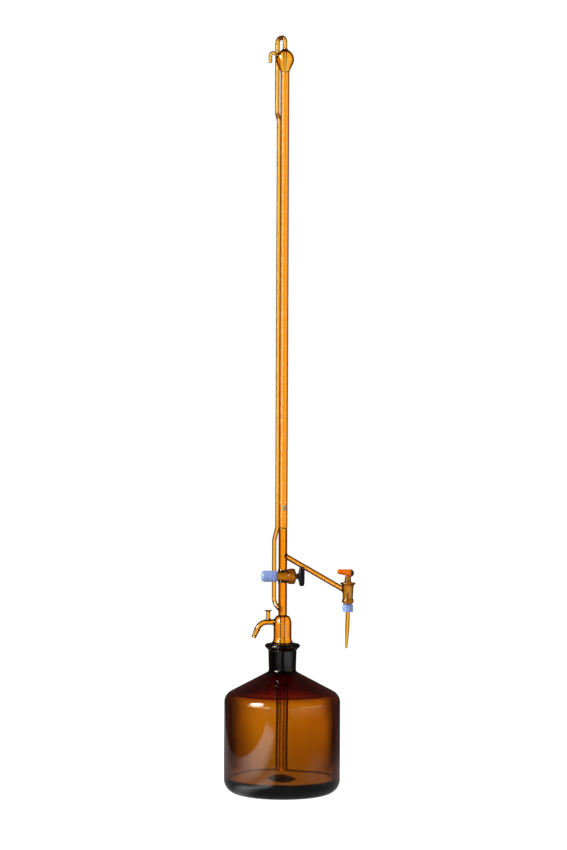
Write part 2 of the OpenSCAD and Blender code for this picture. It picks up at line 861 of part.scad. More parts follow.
// A fluted ring of a nut, seen along its axis
module fluted(r) {
    difference() {
        circle(r = r);
        for (i = [0:nut_flutes - 1])
            rotate(i * 360 / nut_flutes)
                translate([r + flute_r / 2, 0])
                    circle(r = flute_r, $fn = 24);
    }
}

module drain_cock_nut() {
    r = drain_nut_d / 2;
    collar = drain_nut_len / 6;
    dome = r / 2;
    color(nut_blue)
        in_drain()
            translate([0, 0, drain_nut_at])
                difference() {
                    union() {
                        intersection() {
                            linear_extrude(drain_nut_len - collar / 2)
                                fluted(r);
                            rotate_extrude()
                                polygon(concat(
                                    [[0, 0]],
                                    arc([r - dome, dome], dome, -90, 0),
                                    [[r + cut, drain_nut_len], [0, drain_nut_len]]
                                ));
                        }
                        translate([0, 0, drain_nut_len - collar])
                            cylinder(r = r, h = collar);
                    }
                    translate([0, 0, drain_nut_wall])
                        cylinder(r = drain_stud_d / 2 + run_gap, h = drain_nut_len);
                }
}

// The delivery barrel's outer shape as a solid
module delivery_body() {
    low_r = delivery_ring_d / 2 - delivery_foot_step;
    ring_r = delivery_ring_d / 2;
    flange_z = delivery_up - delivery_flange_t;
    rotate_extrude()
        polygon([
            [0, -delivery_down], [low_r, -delivery_down],
            [ring_r - delivery_ring_edge, delivery_ring_z], [ring_r, delivery_ring_z + delivery_ring_h / 3],
            [ring_r, delivery_ring_z + delivery_ring_h * 2 / 3],
            [ring_r - delivery_ring_edge, delivery_ring_z + delivery_ring_h],
            [delivery_waist_d / 2, delivery_waist_z],
            [delivery_d / 2, flange_z - flange_slope],
            [delivery_flange_d / 2, flange_z + delivery_flange_t / 3],
            [delivery_flange_d / 2, delivery_up], [0, delivery_up]
        ]);
}

module delivery_cock_barrel() {
    low_r = plug_r(delivery_plug_d, delivery_plug_end, -delivery_down - cut) + ground_gap;
    high_r = plug_r(delivery_plug_d, delivery_plug_end, delivery_up + cut) + ground_gap;
    color(amber)
        difference() {
            in_delivery()
                delivery_body();
            in_delivery()
                translate([0, 0, -delivery_down - cut])
                    cylinder(r1 = low_r, r2 = high_r, h = delivery_up + delivery_down + 2 * cut);
            rod(arm_start, delivery_pos, arm_bore / 2);
        }
}

module delivery_cock_key() {
    stud_r = delivery_stud_d / 2;
    plug_low = -delivery_down - face_gap;
    stem_end = lever_z - lever_d / 2 + stem_socket;
    port_r = delivery_port / 2;
    color(amber)
        in_delivery()
            difference() {
                rotate_extrude()
                    polygon([
                        [0, delivery_nut_at], [stud_r, delivery_nut_at], [stud_r, delivery_seal_at],
                        [delivery_spigot_r, delivery_seal_at], [delivery_spigot_r, plug_low],
                        [plug_r(delivery_plug_d, delivery_plug_end, plug_low), plug_low],
                        [delivery_plug_d / 2, delivery_plug_end],
                        [delivery_stem_d / 2, delivery_plug_end + plug_slope],
                        [delivery_stem_d / 2, stem_end], [0, stem_end]
                    ]);
                translate([0, 0, delivery_nut_at - cut])
                    cylinder(r = port_r, h = -delivery_nut_at + cut);
                rod([0, 0, 0], delivery_d * [-cos(arm_yaw), sin(arm_yaw), 0], port_r);
                flat_cut(stud_r, delivery_washer_at - thread_pitch - face_gap, delivery_seal_at);
            }
}

module delivery_cock_handle() {
    end_r = lever_end_d / 2;
    color(amber)
        in_delivery()
            difference() {
                hull() {
                    translate([lever_past, 0, lever_z])
                        scale([1, lever_flat, 1])
                            sphere(d = lever_d, $fn = 32);
                    translate([end_r - lever_len, 0, lever_z + lever_rise])
                        scale([1, lever_flat, 1])
                            sphere(r = end_r, $fn = 32);
                }
                translate([0, 0, lever_z - lever_d])
                    cylinder(r = delivery_stem_d / 2 + run_gap, h = lever_d / 2 + stem_socket);
            }
}

module delivery_tip() {
    color(amber)
        in_delivery()
            translate([0, 0, delivery_nut_at])
                rotate_extrude()
                    polygon([
                        [delivery_port / 2, 0], [tip_d / 2, 0],
                        [tip_d / 2, -tip_straight], [tip_end_d / 2, -tip_len],
                        [tip_end_bore / 2, -tip_len], [delivery_port / 2, -tip_straight]
                    ]);
}

module delivery_cock_seal() {
    color(seal_grey)
        in_delivery()
            seal_ring(delivery_spigot_r, delivery_seal_t, delivery_seal_at);
}

module delivery_cock_washer() {
    color(pale_plastic)
        in_delivery()
            translate([0, 0, delivery_washer_at])
                linear_extrude(delivery_washer_t)
                    difference() {
                        circle(d = delivery_washer_d);
                        flat_hole(delivery_stud_d / 2);
                    }
}

module delivery_cock_nut() {
    r = delivery_nut_d / 2;
    collar = delivery_nut_len / 5;
    color(nut_blue)
        in_delivery()
            translate([0, 0, delivery_nut_at])
                difference() {
                    union() {
                        linear_extrude(delivery_nut_len - collar / 2)
                            fluted(r);
                        translate([0, 0, delivery_nut_len - collar])
                            cylinder(r = r, h = collar);
                    }
                    translate([0, 0, -cut])
                        cylinder(r = delivery_stud_d / 2 + run_gap, h = delivery_nut_len + 2 * cut);
                }
}

reservoir_bottle();
joint_head();
dip_tube();
dip_sleeve();
hose_nozzle();
vent_stub();
lower_tube();
feed_tube();
graduated_tube();
overflow_bulb();
zero_tip();
vent_hook();
riser_tube();
top_loop();
side_arm();
drain_cock_barrel();
drain_cock_key();
drain_cock_handle();
drain_cock_seal();
drain_cock_washer();
drain_cock_nut();
delivery_cock_barrel();
delivery_cock_key();
delivery_cock_handle();
delivery_tip();
delivery_cock_seal();
delivery_cock_washer();
delivery_cock_nut();
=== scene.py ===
# %% [markdown]
# # An amber automatic burette
# The imported model gives every solid its place, and this lesson dresses it. The real object is almost
# all glass, so most steps here make a glass wall: an outer face, an inner face and a rounded lip that
# joins them. A closed wall bends light as the real one does, and its colour comes from its thickness,
# with painted shade added along edges seen edge-on and on parts of the bottle and keys.

# %% Load the frame
import math

import bmesh
import bpy
import numpy as np
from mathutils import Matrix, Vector


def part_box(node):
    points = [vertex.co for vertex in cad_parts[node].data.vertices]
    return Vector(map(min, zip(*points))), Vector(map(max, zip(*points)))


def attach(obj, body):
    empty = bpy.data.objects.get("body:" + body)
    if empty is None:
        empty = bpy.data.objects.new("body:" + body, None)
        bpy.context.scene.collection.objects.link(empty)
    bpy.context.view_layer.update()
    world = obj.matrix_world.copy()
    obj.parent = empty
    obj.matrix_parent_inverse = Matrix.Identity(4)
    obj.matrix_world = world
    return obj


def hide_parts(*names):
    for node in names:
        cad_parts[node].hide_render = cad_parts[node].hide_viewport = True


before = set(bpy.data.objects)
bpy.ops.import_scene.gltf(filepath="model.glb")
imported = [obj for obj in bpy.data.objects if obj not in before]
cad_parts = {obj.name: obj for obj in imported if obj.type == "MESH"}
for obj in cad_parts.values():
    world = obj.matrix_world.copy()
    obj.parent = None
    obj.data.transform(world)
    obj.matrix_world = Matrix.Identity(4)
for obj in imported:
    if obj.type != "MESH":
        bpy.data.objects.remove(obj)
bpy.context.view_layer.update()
MM = 0.001

# %% [markdown]
# ## Levels
# A glass blower marks a drawing with levels before lighting the torch. The levels are read from the
# solids, in millimetres, so a piece stays on its node if the source changes. What a box can't tell,
# such as a wall's thickness, is written down next to the piece that needs it.


# %% Levels
def low(node):
    """Lowest corner of a node's box, in millimetres."""
    return np.array(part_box(node)[0]) / MM


def high(node):
    """Highest corner of a node's box, in millimetres."""
    return np.array(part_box(node)[1]) / MM


cone_length, barrel_above, arm_rise, arm_drop = 32.0, 7.9, 27.1, 3.7
rim_z = high("reservoir_bottle")[2]
bottle_r = high("reservoir_bottle")[0]
cone_z = low("joint_head")[2]
gauge_z = cone_z + cone_length
bell_top = high("joint_head")[2]
dip_end_z = low("dip_tube")[2]
seam_z = low("graduated_tube")[2]
tube_top = high("graduated_tube")[2]
bulb_top = high("overflow_bulb")[2]
drain_z = (low("drain_cock_nut")[2] + high("drain_cock_nut")[2]) / 2
drain_at = np.array([0.0, 0.0, drain_z])
delivery_at = (low("delivery_cock_nut") + high("delivery_cock_nut")) / 2
delivery_at[2] = high("delivery_cock_barrel")[2] - barrel_above
arm_at = np.array([0.0, 0.0, drain_z + arm_rise])
arm_end = delivery_at - np.array([0, 0, arm_drop])
WELD = 0.02
print("drain", drain_at.round(2), "delivery", delivery_at.round(2), "seam", round(seam_z, 2))

# %% [markdown]
# ## Formulas in the shader
# A finish is easier to read as a formula than as a web of nodes. `Value` wraps one socket, and each
# operator on it adds a Math node. `Finish.add` makes every other node from its type, its settings and
# what goes into its sockets.


# %% A socket in a formula
class Value:
    """One output socket. a + b, a - b, a * b and a ** b add a Math node each."""

    def __init__(self, finish, socket):
        self.finish, self.socket = finish, socket

    def math(self, operation, first, second):
        return self.finish.add("ShaderNodeMath", {"operation": operation}, {0: first, 1: second})

    def __add__(self, other):
        return self.math("ADD", self, other)

    def __sub__(self, other):
        return self.math("SUBTRACT", self, other)

    def __rsub__(self, other):
        return self.math("SUBTRACT", other, self)

    def __mul__(self, other):
        return self.math("MULTIPLY", self, other)

    def __pow__(self, other):
        return self.math("POWER", self, other)

    def larger(self, other):
        return self.math("MAXIMUM", self, other)

    def fold(self, span):
        """Rises to span, falls back to 0, and so on."""
        return self.math("PINGPONG", self, span)

    def step(self, low_end, high_end):
        """0 below low_end, 1 above high_end, and a smooth step between them."""
        ends = {"Value": self, "From Min": low_end, "From Max": high_end}
        return self.finish.add("ShaderNodeMapRange", {"interpolation_type": "SMOOTHSTEP"}, ends)

    __radd__, __rmul__ = __add__, __mul__


class Finish:
    """A material, built node by node."""

    def __init__(self, name):
        self.material = bpy.data.materials.new(name)
        self.material.use_nodes = True
        self.tree = self.material.node_tree
        self.tree.nodes.clear()
        self.place = self.add("ShaderNodeTexCoord", output="Object")

    def add(self, kind, settings=None, sockets=None, output=0):
        node = self.tree.nodes.new(kind)
        for key, value in (settings or {}).items():
            setattr(node, key, value)
        for key, value in (sockets or {}).items():
            if isinstance(value, Value):
                self.tree.links.new(value.socket, node.inputs[key])
            else:
                node.inputs[key].default_value = value
        return Value(self, node.outputs[output]) if node.outputs else None

    def scaled(self, scale):
        """Object coordinates, stretched by a scale along each axis."""
        return self.add("ShaderNodeMapping", None, {"Vector": self.place, "Scale": scale})

    def part(self, vector, name):
        """One part of a vector: X, Y or Z."""
        return self.add("ShaderNodeSeparateXYZ", None, {0: vector}, name)

    def noise(self, scale, detail=2.0):
        where = {"Vector": self.scaled(scale), "Scale": 1.0, "Detail": detail}
        return self.add("ShaderNodeTexNoise", None, where, "Fac")

    def mix(self, factor, first, second):
        """The first colour where the factor is 0, and the second where it is 1."""
        sockets = {0: factor, 6: first, 7: second}
        return self.add("ShaderNodeMix", {"data_type": "RGBA"}, sockets, 2)

    def bump(self, height, strength, distance):
        sockets = {"Height": height, "Strength": strength, "Distance": distance}
        return self.add("ShaderNodeBump", None, sockets)

    def done(self, surface, volume=None):
        sockets = {"Surface": surface}
        if volume:
            sockets["Volume"] = volume
        self.add("ShaderNodeOutputMaterial", None, sockets)
        return self.material


# %% [markdown]
# ## Glass
# Amber glass has no colour on its skin: the iron and sulphur inside it take up blue and green light on
# the way through. Volume Absorption does the same, so a thin tube comes out yellow and a thick one
# orange. The rates below are per metre of glass for red, green and blue. A wall seen edge-on is darker
# still: light runs a long way inside it there, which the volume gives, and on top of that a dark tint at
# grazing angles paints shade on the outer skin; the attribute `inner` keeps it off the bore. Drawing the
# tube leaves long, faint ridges, which a stretched noise lays on the surface. The attribute `ground`
# marks the faces that were ground with grit: cone, cocks and the bottle's neck. The bottle's glass also
# gets painted shade: its ground neck is tinted near black, and by height it is darker in the neck,
# shoulder and foot, with a painted dark oval in the middle of the foot.


# %% Glass finishes
EDGE_SHADE, SPAN, GLASS_IOR = (0.03, 0.008, 0.002, 1), (0.26, 0.48), 1.49


def absorption(finish, rates):
    """Volume that dims red, green and blue by exp(-rate * metres): colour = 1 - rate / density."""
    density = max(rates)
    colour = (*(1 - rate / density for rate in rates), 1)
    sockets = {"Color": colour, "Density": density}
    return finish.add("ShaderNodeVolumeAbsorption", None, sockets)


def glass(name, rates, tint, grain, edge=EDGE_SHADE, span=SPAN, ground_shade=(1, 1, 1, 1), painted_shade=None):
    """Clear, drawn glass: painted shade where it is seen edge-on, and matt where the ground attribute is
    1.
    """
    finish = Finish(name)
    ground = finish.add("ShaderNodeAttribute", {"attribute_name": "ground"}, None, "Fac")
    inner = finish.add("ShaderNodeAttribute", {"attribute_name": "inner"}, None, "Fac")
    facing = finish.add("ShaderNodeLayerWeight", None, {"Blend": 0.5}, "Facing")
    streak = finish.noise(grain, 1.0)
    grit = finish.noise((9000, 9000, 9000))
    film = finish.noise((60, 60, 20), 4.0).step(0.45, 0.8)
    deeper = (*(0.985 * part for part in tint[:3]), 1)
    colour = finish.mix(streak.step(0.3, 0.7), tint, deeper)
    # Painted shade by height, given for the bottle only.
    colour = painted_shade(finish, colour) if painted_shade else colour
    # Painted shade: on the outer skin the colour turns to the dark edge tint at grazing angles.
    colour = finish.mix(facing.step(*span) * (1 - inner), colour, edge)
    rough = 0.01 + film * 0.03 + ground * (0.3 + grit * 0.2)
    relief = streak * 0.5 + ground * grit * 2.0
    sockets = {
        # Ground faces take the ground colour: white for most glass, a near-black painted shade on the
        # bottle's neck.
        "Base Color": finish.mix(ground, colour, ground_shade),
        "Roughness": rough,
        "IOR": GLASS_IOR,
        "Transmission Weight": 1.0,
        "Normal": finish.bump(relief, 0.025, 0.00012),
    }
    surface = finish.add("ShaderNodeBsdfPrincipled", None, sockets)
    return finish.done(surface, absorption(finish, rates))


def bottle_shades(finish, colour):
    """Painted shade by height, in metres: darker foot, shoulder and neck, and a near-black round middle
    of the foot.
    """
    foot_shade, button_shade = (0.5, 0.35, 0.3, 1), (0.004, 0.002, 0.001, 1)
    shoulder_shade, neck_shade = (0.32, 0.022, 0.007, 1), (0.03, 0.025, 0.022, 1)
    x, y, rise = (finish.part(finish.place, name) for name in "XYZ")
    # Painted shade: a near-black round in the middle of the foot, and darker bands at foot, shoulder and
    # neck.
    middle = (1 - (x * x + y * y).step(0.0185**2, 0.02**2)) * (1 - rise.step(0.025, 0.028))
    colour = finish.mix(rise.step(0.008, 0.022), foot_shade, colour)
    colour = finish.mix(middle, colour, button_shade)
    colour = finish.mix(rise.step(0.116, 0.128), colour, shoulder_shade)
    return finish.mix(rise.step(0.145, 0.153), colour, neck_shade)


clear, drawn, pressed = (1, 0.99, 0.97, 1), (500, 500, 3), (300, 300, 60)
tube_rates, column_rates = (4, 290, 1350), (4, 215, 1000)
# Each glass's edge tint, the default or the one given after the grain, is painted shade at grazing
# angles.
amber = glass("amber_glass", tube_rates, clear, drawn)
bent_glass = glass("bent_glass", tube_rates, clear, drawn, (0.05, 0.014, 0.003, 1), (0.08, 0.31))
column_glass = glass("column_glass", column_rates, clear, drawn, (0.04, 0.015, 0.003, 1), (0.1, 0.28))
cock_glass = glass("cock_glass", (22, 145, 680), clear, pressed)
plug_glass = glass("plug_glass", (25, 60, 220), (0.2, 0.07, 0.03, 1), pressed)
# The delivery key's brown tint is painted shade: it darkens the stem and stud, which look dark from
# total reflection; the ground plug stays clear.
shaded_key_glass = glass("shaded_key_glass", (8, 60, 400), (0.42, 0.24, 0.15, 1), pressed)
thin_glass = glass("thin_glass", (5, 40, 160), clear, drawn, (0.02, 0.007, 0.003, 1), (0.15, 0.32))
# The bottle's last two arguments paint shade: a near-black tint on its ground neck and darker bands by
# height.
dark_amber = glass(
    "bottle_glass", (90, 245, 850), clear, (30, 30, 22), (0.06, 0.012, 0.004, 1), (0.3, 0.6),
    (0.03, 0.02, 0.02, 1), bottle_shades,
)
print("glass finishes 8")

# %% [markdown]
# ## Plastic, rubber and enamel
# The nuts and washers are moulded in pale blue and lilac plastic that lets a little light in. The
# sealing rings are grey rubber, and one handle is black plastic with a satin skin. The lever is glass
# so thick that hardly any light gets through: it is treated as a moulded piece, orange, with painted
# shade that darkens its far end. Fine noise changes the colour and roughness a little and gives the
# skin its mould texture. The enamel of the scale has the same make-up.


# %% Moulded finishes
def moulded(name, colour, shade, rough, texture, glow=0.0, gloss=0.5, end=None):
    """Plastic or rubber: two close colours in a soft cloud, over the fine skin of the mould.

    An end is (from, to, tint): the tint, a painted shade, comes in between two places along x, in
    metres."""
    finish = Finish(name)
    cloud = finish.noise((90, 90, 90), 3.0)
    skin = finish.noise((2600, 2600, 2600))
    base = finish.mix(cloud.step(0.3, 0.7), colour, shade)
    if end:
        # Painted shade: the end tint darkens the piece between two places along x.
        base = finish.mix(finish.part(finish.place, "X").step(*end[:2]), base, end[2])
    sockets = {
        "Base Color": base,
        "Roughness": rough + skin * 0.12,
        "Specular IOR Level": gloss,
        "Subsurface Weight": glow,
        "Subsurface Radius": (0.002, 0.002, 0.003),
        "Subsurface Scale": 1.0,
        "Normal": finish.bump(skin, texture, 0.00005),
    }
    return finish.done(finish.add("ShaderNodeBsdfPrincipled", None, sockets))


nut_blue = moulded("nut_plastic", (0.35, 0.46, 0.84, 1), (0.29, 0.41, 0.78, 1), 0.34, 0.3, 0.3)
lilac = moulded("pale_plastic", (0.31, 0.37, 0.72, 1), (0.26, 0.32, 0.66, 1), 0.4, 0.3, 0.3)
grey_rubber = moulded("seal_rubber", (0.25, 0.24, 0.25, 1), (0.2, 0.19, 0.2, 1), 0.6, 0.5)
black = moulded(
    "black_plastic", (0.012, 0.009, 0.013, 1), (0.007, 0.006, 0.009, 1), 0.35, 0.25, gloss=0.2
)
lever_x = delivery_at[0] * MM
# Painted shade: the lever's far end along x is darkened to near black.
shaded_lever_end = (lever_x + 0.003, lever_x + 0.005, (0.02, 0.013, 0.012, 1))
lever_orange = moulded(
    "lever_glass", (0.83, 0.145, 0.001, 1), (0.94, 0.195, 0.002, 1), 0.2, 0.05, 0.1, 0.25, shaded_lever_end
)
enamel = moulded("scale_enamel", (0.80, 0.55, 0.20, 1), (0.74, 0.48, 0.16, 1), 0.45, 0.4)
label = moulded("label_enamel", (0.66, 0.43, 0.25, 1), (0.6, 0.4, 0.24, 1), 0.5, 0.4)
print("moulded finishes 7")

# %% [markdown]
# ## Surfaces on a grid
# Every piece below is a grid of points: rows follow a section, and columns run round an axis. One
# function turns such a grid into a mesh with numpy, closes it, smooths it and puts it on its body.
# Rows that shrink to one point are merged, so a pole is a single vertex.


# %% Grid to mesh
def unit(vector):
    return vector / np.linalg.norm(vector)


def circle(columns):
    """Even angles once round, in radians."""
    return np.linspace(0, 2 * np.pi, columns, endpoint=False)


def inner_rows(points):
    """1 for each row whose outward direction, columns x rows, points back at the row's own middle."""
    arm = points - points.mean(axis=1, keepdims=True)
    across = np.roll(points, -1, axis=1) - np.roll(points, 1, axis=1)
    along = np.roll(points, -1, axis=0) - np.roll(points, 1, axis=0)
    return (np.cross(across, along) * arm).sum(axis=(1, 2)) < 0


def piece(name, points, finish, body, slot, node=None, loop=True, ground=None):
    """Quads over points[row, column] in mm. Columns close on themselves, and rows too if loop."""
    rows, columns = points.shape[:2]
    index = np.arange(rows * columns).reshape(rows, columns)
    beside = np.roll(index, -1, axis=1)
    quads = np.stack([index, beside, np.roll(beside, -1, axis=0), np.roll(index, -1, axis=0)], axis=-1)
    quads = (quads if loop else quads[:-1]).reshape(-1, 4)
    mesh = bpy.data.meshes.new(name)
    mesh.from_pydata((points.reshape(-1, 3) * MM).tolist(), [], quads.tolist())
    marks = {"inner": inner_rows(points), "ground": np.zeros(rows) if ground is None else ground}
    for key_name, mark in marks.items():
        values = np.repeat(mark, columns).astype(np.float32)
        mesh.attributes.new(key_name, "FLOAT", "POINT").data.foreach_set("value", values)
    return place(name, mesh, finish, body, slot, node)


def place(name, mesh, finish, body, slot, node=None):
    """Merges what coincides, smooths the mesh, and rides it on its body in place of its node."""
    work = bmesh.new()
    work.from_mesh(mesh)
    bmesh.ops.remove_doubles(work, verts=work.verts, dist=1e-7)
    volume = work.calc_volume(signed=True) / MM**3
    work.to_mesh(mesh)
    work.free()
    mesh.polygons.foreach_set("use_smooth", np.ones(len(mesh.polygons), bool))
    mesh.materials.append(finish)
    made = bpy.data.objects.new(name, mesh)
    bpy.context.scene.collection.objects.link(made)
    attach(made, body)
    if node:
        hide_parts(node)
    print(name, len(mesh.polygons), "faces", round(volume, 1), "mm3")
    return made


def fused(name, points, finish, node, ground=None):
    """A piece of the burette's own glass, closed both ways."""
    return piece(name, points, finish, "burette", "amber_glass", node, True, ground)


# %% [markdown]
# ## Outlines, paths and cuts
# A section or a path is drawn as a few corners, and each corner is rounded with an arc. A tube is a
# ring carried along a path. Where a tube is fused to the side of another piece, its end is a saddle:
# for each line along the wall, the place where that line leaves the other piece is found by halving.


# %% Rounded corners
def rounded(corners, radii, steps=10):
    """Corners joined by lines, each inner corner rounded.

    With a and b the unit directions to the neighbours and t the angle between them, the arc begins
    radius / tan(t/2) along a, and its centre is radius / sin(t/2) along a + b."""
    corners = np.asarray(corners, float)
    radii = np.broadcast_to(radii, len(corners) - 2)
    share = np.linspace(0, 1, steps + 1)[:, None]
    parts = [corners[:1]]
    for before, corner, after, radius in zip(corners, corners[1:], corners[2:], radii):
        a, b = unit(before - corner), unit(after - corner)
        angle = np.arccos(np.clip(a @ b, -1, 1))
        turn = np.pi - angle
        if radius == 0 or turn < 1e-3:
            parts.append(corner[None])
            continue
        centre = corner + unit(a + b) * radius / np.sin(angle / 2)
        first = corner + a * radius / np.tan(angle / 2) - centre
        last = corner + b * radius / np.tan(angle / 2) - centre
        bow = np.sin((1 - share) * turn) * first + np.sin(share * turn) * last
        parts.append(centre + bow / np.sin(turn))
    return np.concatenate([*parts, corners[-1:]])


def arc(centre, across, up, start, end, steps=20):
    """Ellipse arc in the section's plane: centre + (across cos a, up sin a), angles in degrees."""
    angle = np.radians(np.linspace(start, end, steps + 1))
    return np.asarray(centre) + np.stack([across * np.cos(angle), up * np.sin(angle)], axis=-1)


# %% Turned pieces
ALONG_Z = np.eye(3)
ALONG_X = np.array([[0.0, 0, -1], [0, 1, 0], [1, 0, 0]])


def dense(section, loop=True, step=40.0):
    """Adds rows just inside both ends of each long line, so that shading turns only at the corners."""
    margin, shortest = 0.3, 1.2
    section = np.asarray(section, float)
    ends = np.concatenate([section[1:], section[:1]]) if loop else section[1:]
    rows = []
    for first, last in zip(section, ends):
        length = np.linalg.norm(last - first)
        share = np.linspace(0, 1, int(length // step) + 2)[:-1]
        edge = margin / length if length > shortest else 0.5
        share = np.unique([*share, edge, 1 - edge]) if length > shortest else share[:1]
        rows.append(first + np.outer(share, last - first))
    return np.concatenate(rows if loop else [*rows, section[-1:]])


def marked(section, ground=0.0):
    """A section with a third column, the ground mark."""
    section = np.asarray(section, float)
    return np.column_stack([section, np.full(len(section), ground)])


def turned(section, at=(0, 0, 0), axes=ALONG_Z, columns=96):
    """Section (r, h) turned about an axis: P(i, a) = at + r cos a x + r sin a y + h z."""
    section = np.asarray(section, float)
    angle = circle(columns)
    r, h = section[:, :1, None], section[:, 1:2, None]
    ring = np.cos(angle)[:, None] * axes[0] + np.sin(angle)[:, None] * axes[1]
    return np.asarray(at) + r * ring + h * axes[2]


def lathe(name, section, finish, node, at=(0, 0, 0), axes=ALONG_Z, columns=96):
    """A turned piece of the burette from a closed section of (r, h) or (r, h, ground)."""
    section = dense(section)
    ground = section[:, 2] if section.shape[1] == 3 else None
    return fused(name, turned(section, at, axes, columns), finish, node, ground)


# %% Paths
class Path:
    """A line through space with a frame: at(s) gives its point, side and upright at distance s."""

    def __init__(self, points, side):
        self.points = np.asarray(points, float)
        steps = np.linalg.norm(np.diff(self.points, axis=0), axis=1)
        self.s = np.concatenate([[0], np.cumsum(steps)])
        self.length = self.s[-1]
        ahead = np.gradient(self.points, axis=0)
        ahead /= np.linalg.norm(ahead, axis=1)[:, None]
        side = np.asarray(side, float)
        self.side = side - (ahead @ side)[:, None] * ahead
        self.side /= np.linalg.norm(self.side, axis=1)[:, None]
        self.up = np.cross(ahead, self.side)

    def at(self, s):
        def read(rows):
            return np.stack([np.interp(s, self.s, rows[:, k]) for k in range(3)], axis=-1)

        return read(self.points), read(self.side), read(self.up)

    def wall(self, s, radius, angle):
        """Point on the tube: c(s) + r (cos a side(s) + sin a up(s))."""
        centre, side, up = self.at(s)
        radius, angle = np.asarray(radius)[..., None], np.asarray(angle)[..., None]
        return centre + radius * (np.cos(angle) * side + np.sin(angle) * up)

    def leaves(self, radius, angle, outside, inner_end, outer_end):
        """Distance at which each wall line leaves another piece, found by halving 40 times."""
        near = np.full(np.broadcast(radius, angle).shape, float(inner_end))
        far = np.full(near.shape, float(outer_end))
        for _ in range(40):
            middle = (near + far) / 2
            within = outside(self.wall(middle, radius + 0 * middle, angle + 0 * middle)) < 0
            near, far = np.where(within, middle, near), np.where(within, far, middle)
        return far


# %% Bent tubes
def tube(
    path, outer, inner, start=None, end=None, flare=0.7, wide=0.0, columns=48, rim=None, reach=26.0
):
    """Wall of a tube. Near a saddle, a row at s moves to s0 + s (hold - s0) / hold on its own line.

    start and end tell how far a point is outside the piece that the tube is fused to, s0 is where the
    line leaves that piece, and hold lies a little past the last s0. There the skin swells by
    flare + wide cos^2 a. A free end has a round lip, or the rim that is given as rows of (distance back
    from the end, radius)."""
    length, lip = path.length, (outer - inner) / 2
    half = np.radians(np.linspace(0, 180, 11))
    round_lip = np.column_stack([lip - lip * np.sin(half), inner + lip + lip * np.cos(half)])
    saddle = np.column_stack([0 * half, np.linspace(outer, inner, 11)])
    foot = (saddle if start else round_lip)[::-1]
    head = saddle if end else round_lip if rim is None else np.asarray(rim, float)
    near = np.array([0, 0.4, 1.0, 1.9, 3.0])
    swell = np.array([1, 0.6, 0.3, 0.1, 0])
    ends = foot[-1, 0] + near, length - head[0, 0] - near[::-1]
    fine = np.arange(near[-1], min(reach, length / 2), 0.8)
    bends = np.concatenate([path.s, fine * bool(start), length - fine * bool(end)])
    bends = np.unique(bends[(bends > near[-1] + 0.3) & (bends < length - near[-1] - 0.3)])
    run = np.concatenate([ends[0], bends, ends[1]])
    added = np.interp(run, near, swell) * bool(start) + np.interp(length - run, near, swell) * bool(end)
    section = np.concatenate([
        np.column_stack([run, outer + 0 * run, added]),
        np.column_stack([length - head[:, 0], head[:, 1], 0 * head[:, 1]]),
        np.column_stack([run[::-1], inner + 0 * run, 0 * run]),
        np.column_stack([foot, 0 * foot[:, 1]]),
    ])
    angle = circle(columns)[None, :]
    s, radius = section[:, :1], section[:, 1:2] + section[:, 2:] * (flare + wide * np.cos(angle) ** 2)
    first = path.leaves(radius, angle, start, 0, reach) if start else 0.0 * radius
    last = path.leaves(radius, angle, end, length, length - reach) if end else 0.0 * radius + length
    hold, keep = first.max() + 2.5, length - last.min() + 2.5
    moved = np.where(s < hold, first + s * (hold - first) / hold, s + 0 * first)
    moved = np.where(length - s < keep, last - (length - s) * (keep - length + last) / keep, moved)
    return path.wall(moved, radius, angle + 0 * s)


# %% Where a tube ends
def off_axis(radius):
    """How far a point is outside an upright round piece on the main axis."""
    return lambda p: np.hypot(p[..., 0], p[..., 1]) - radius - WELD


def off_outline(section, at=(0, 0)):
    """How far a point is outside an upright turned piece whose section rises steadily."""
    def outside(p):
        edge = np.interp(p[..., 2], section[:, 1], section[:, 0])
        return np.hypot(p[..., 0] - at[0], p[..., 1] - at[1]) - edge - WELD

    return outside


def off_path(path, radius, reach):
    """How far a point is outside a bent tube: its distance from the nearest point of a fine path."""
    line = path.at(np.linspace(0, reach, 160))[0]
    return lambda p: np.linalg.norm(p[..., None, :] - line, axis=-1).min(axis=-1) - radius - WELD


def off_level(at, radius):
    """How far a point is outside a round piece that lies along X."""
    return lambda p: np.hypot(p[..., 1] - at[1], p[..., 2] - at[2]) - radius - WELD


# %% [markdown]
# ## The bottle
# The bottle is blown into a mould: a wall about 4 mm thick, a rolled rim, and a foot pushed up in the
# middle so that it stands on a ring. Glass gathers in the heel and a little in the shoulder. Inside, the
# floor is flat, with a low button in the middle; its glass is painted near black, a painted shade that
# makes it a dark oval. The section runs up the outside and down the inside. Blown walls are never even:
# the inner face swells and thins by a few tenths of a millimetre, which makes the light inside look
# liquid. The neck is ground for the cone.

# %% Bottle outline
foot_round, shoulder_round, bottle_wall, fall = 17.0, 15.0, 4.0, math.radians(28)
neck_r, neck_foot_z, socket_low, mouth = 17.0, rim_z - 34.5, 13.05, 14.65
punt_r, punt_rise, punt_wall = 46.0, 12.0, 6.0
shoulder_drop = shoulder_round + (bottle_r - shoulder_round - neck_r) * math.sin(fall)
shoulder_at = np.array([bottle_r - shoulder_round, neck_foot_z - shoulder_drop / math.cos(fall)])
foot_at = np.array([bottle_r - foot_round, foot_round])
dome_r = (punt_r**2 + punt_rise**2) / (2 * punt_rise)
dome_at = np.array([0.0, punt_rise - dome_r])
dome_turn = math.degrees(math.asin((dome_r - punt_rise) / dome_r))
slope_up = np.array([math.sin(fall), math.cos(fall)])
slope_end = shoulder_at + shoulder_round * slope_up
neck_corners = [slope_end, (neck_r, neck_foot_z), (17.8, rim_z - 7.8), (20.7, rim_z - 4.85)]
neck = rounded(neck_corners, [4.0, 2.5])
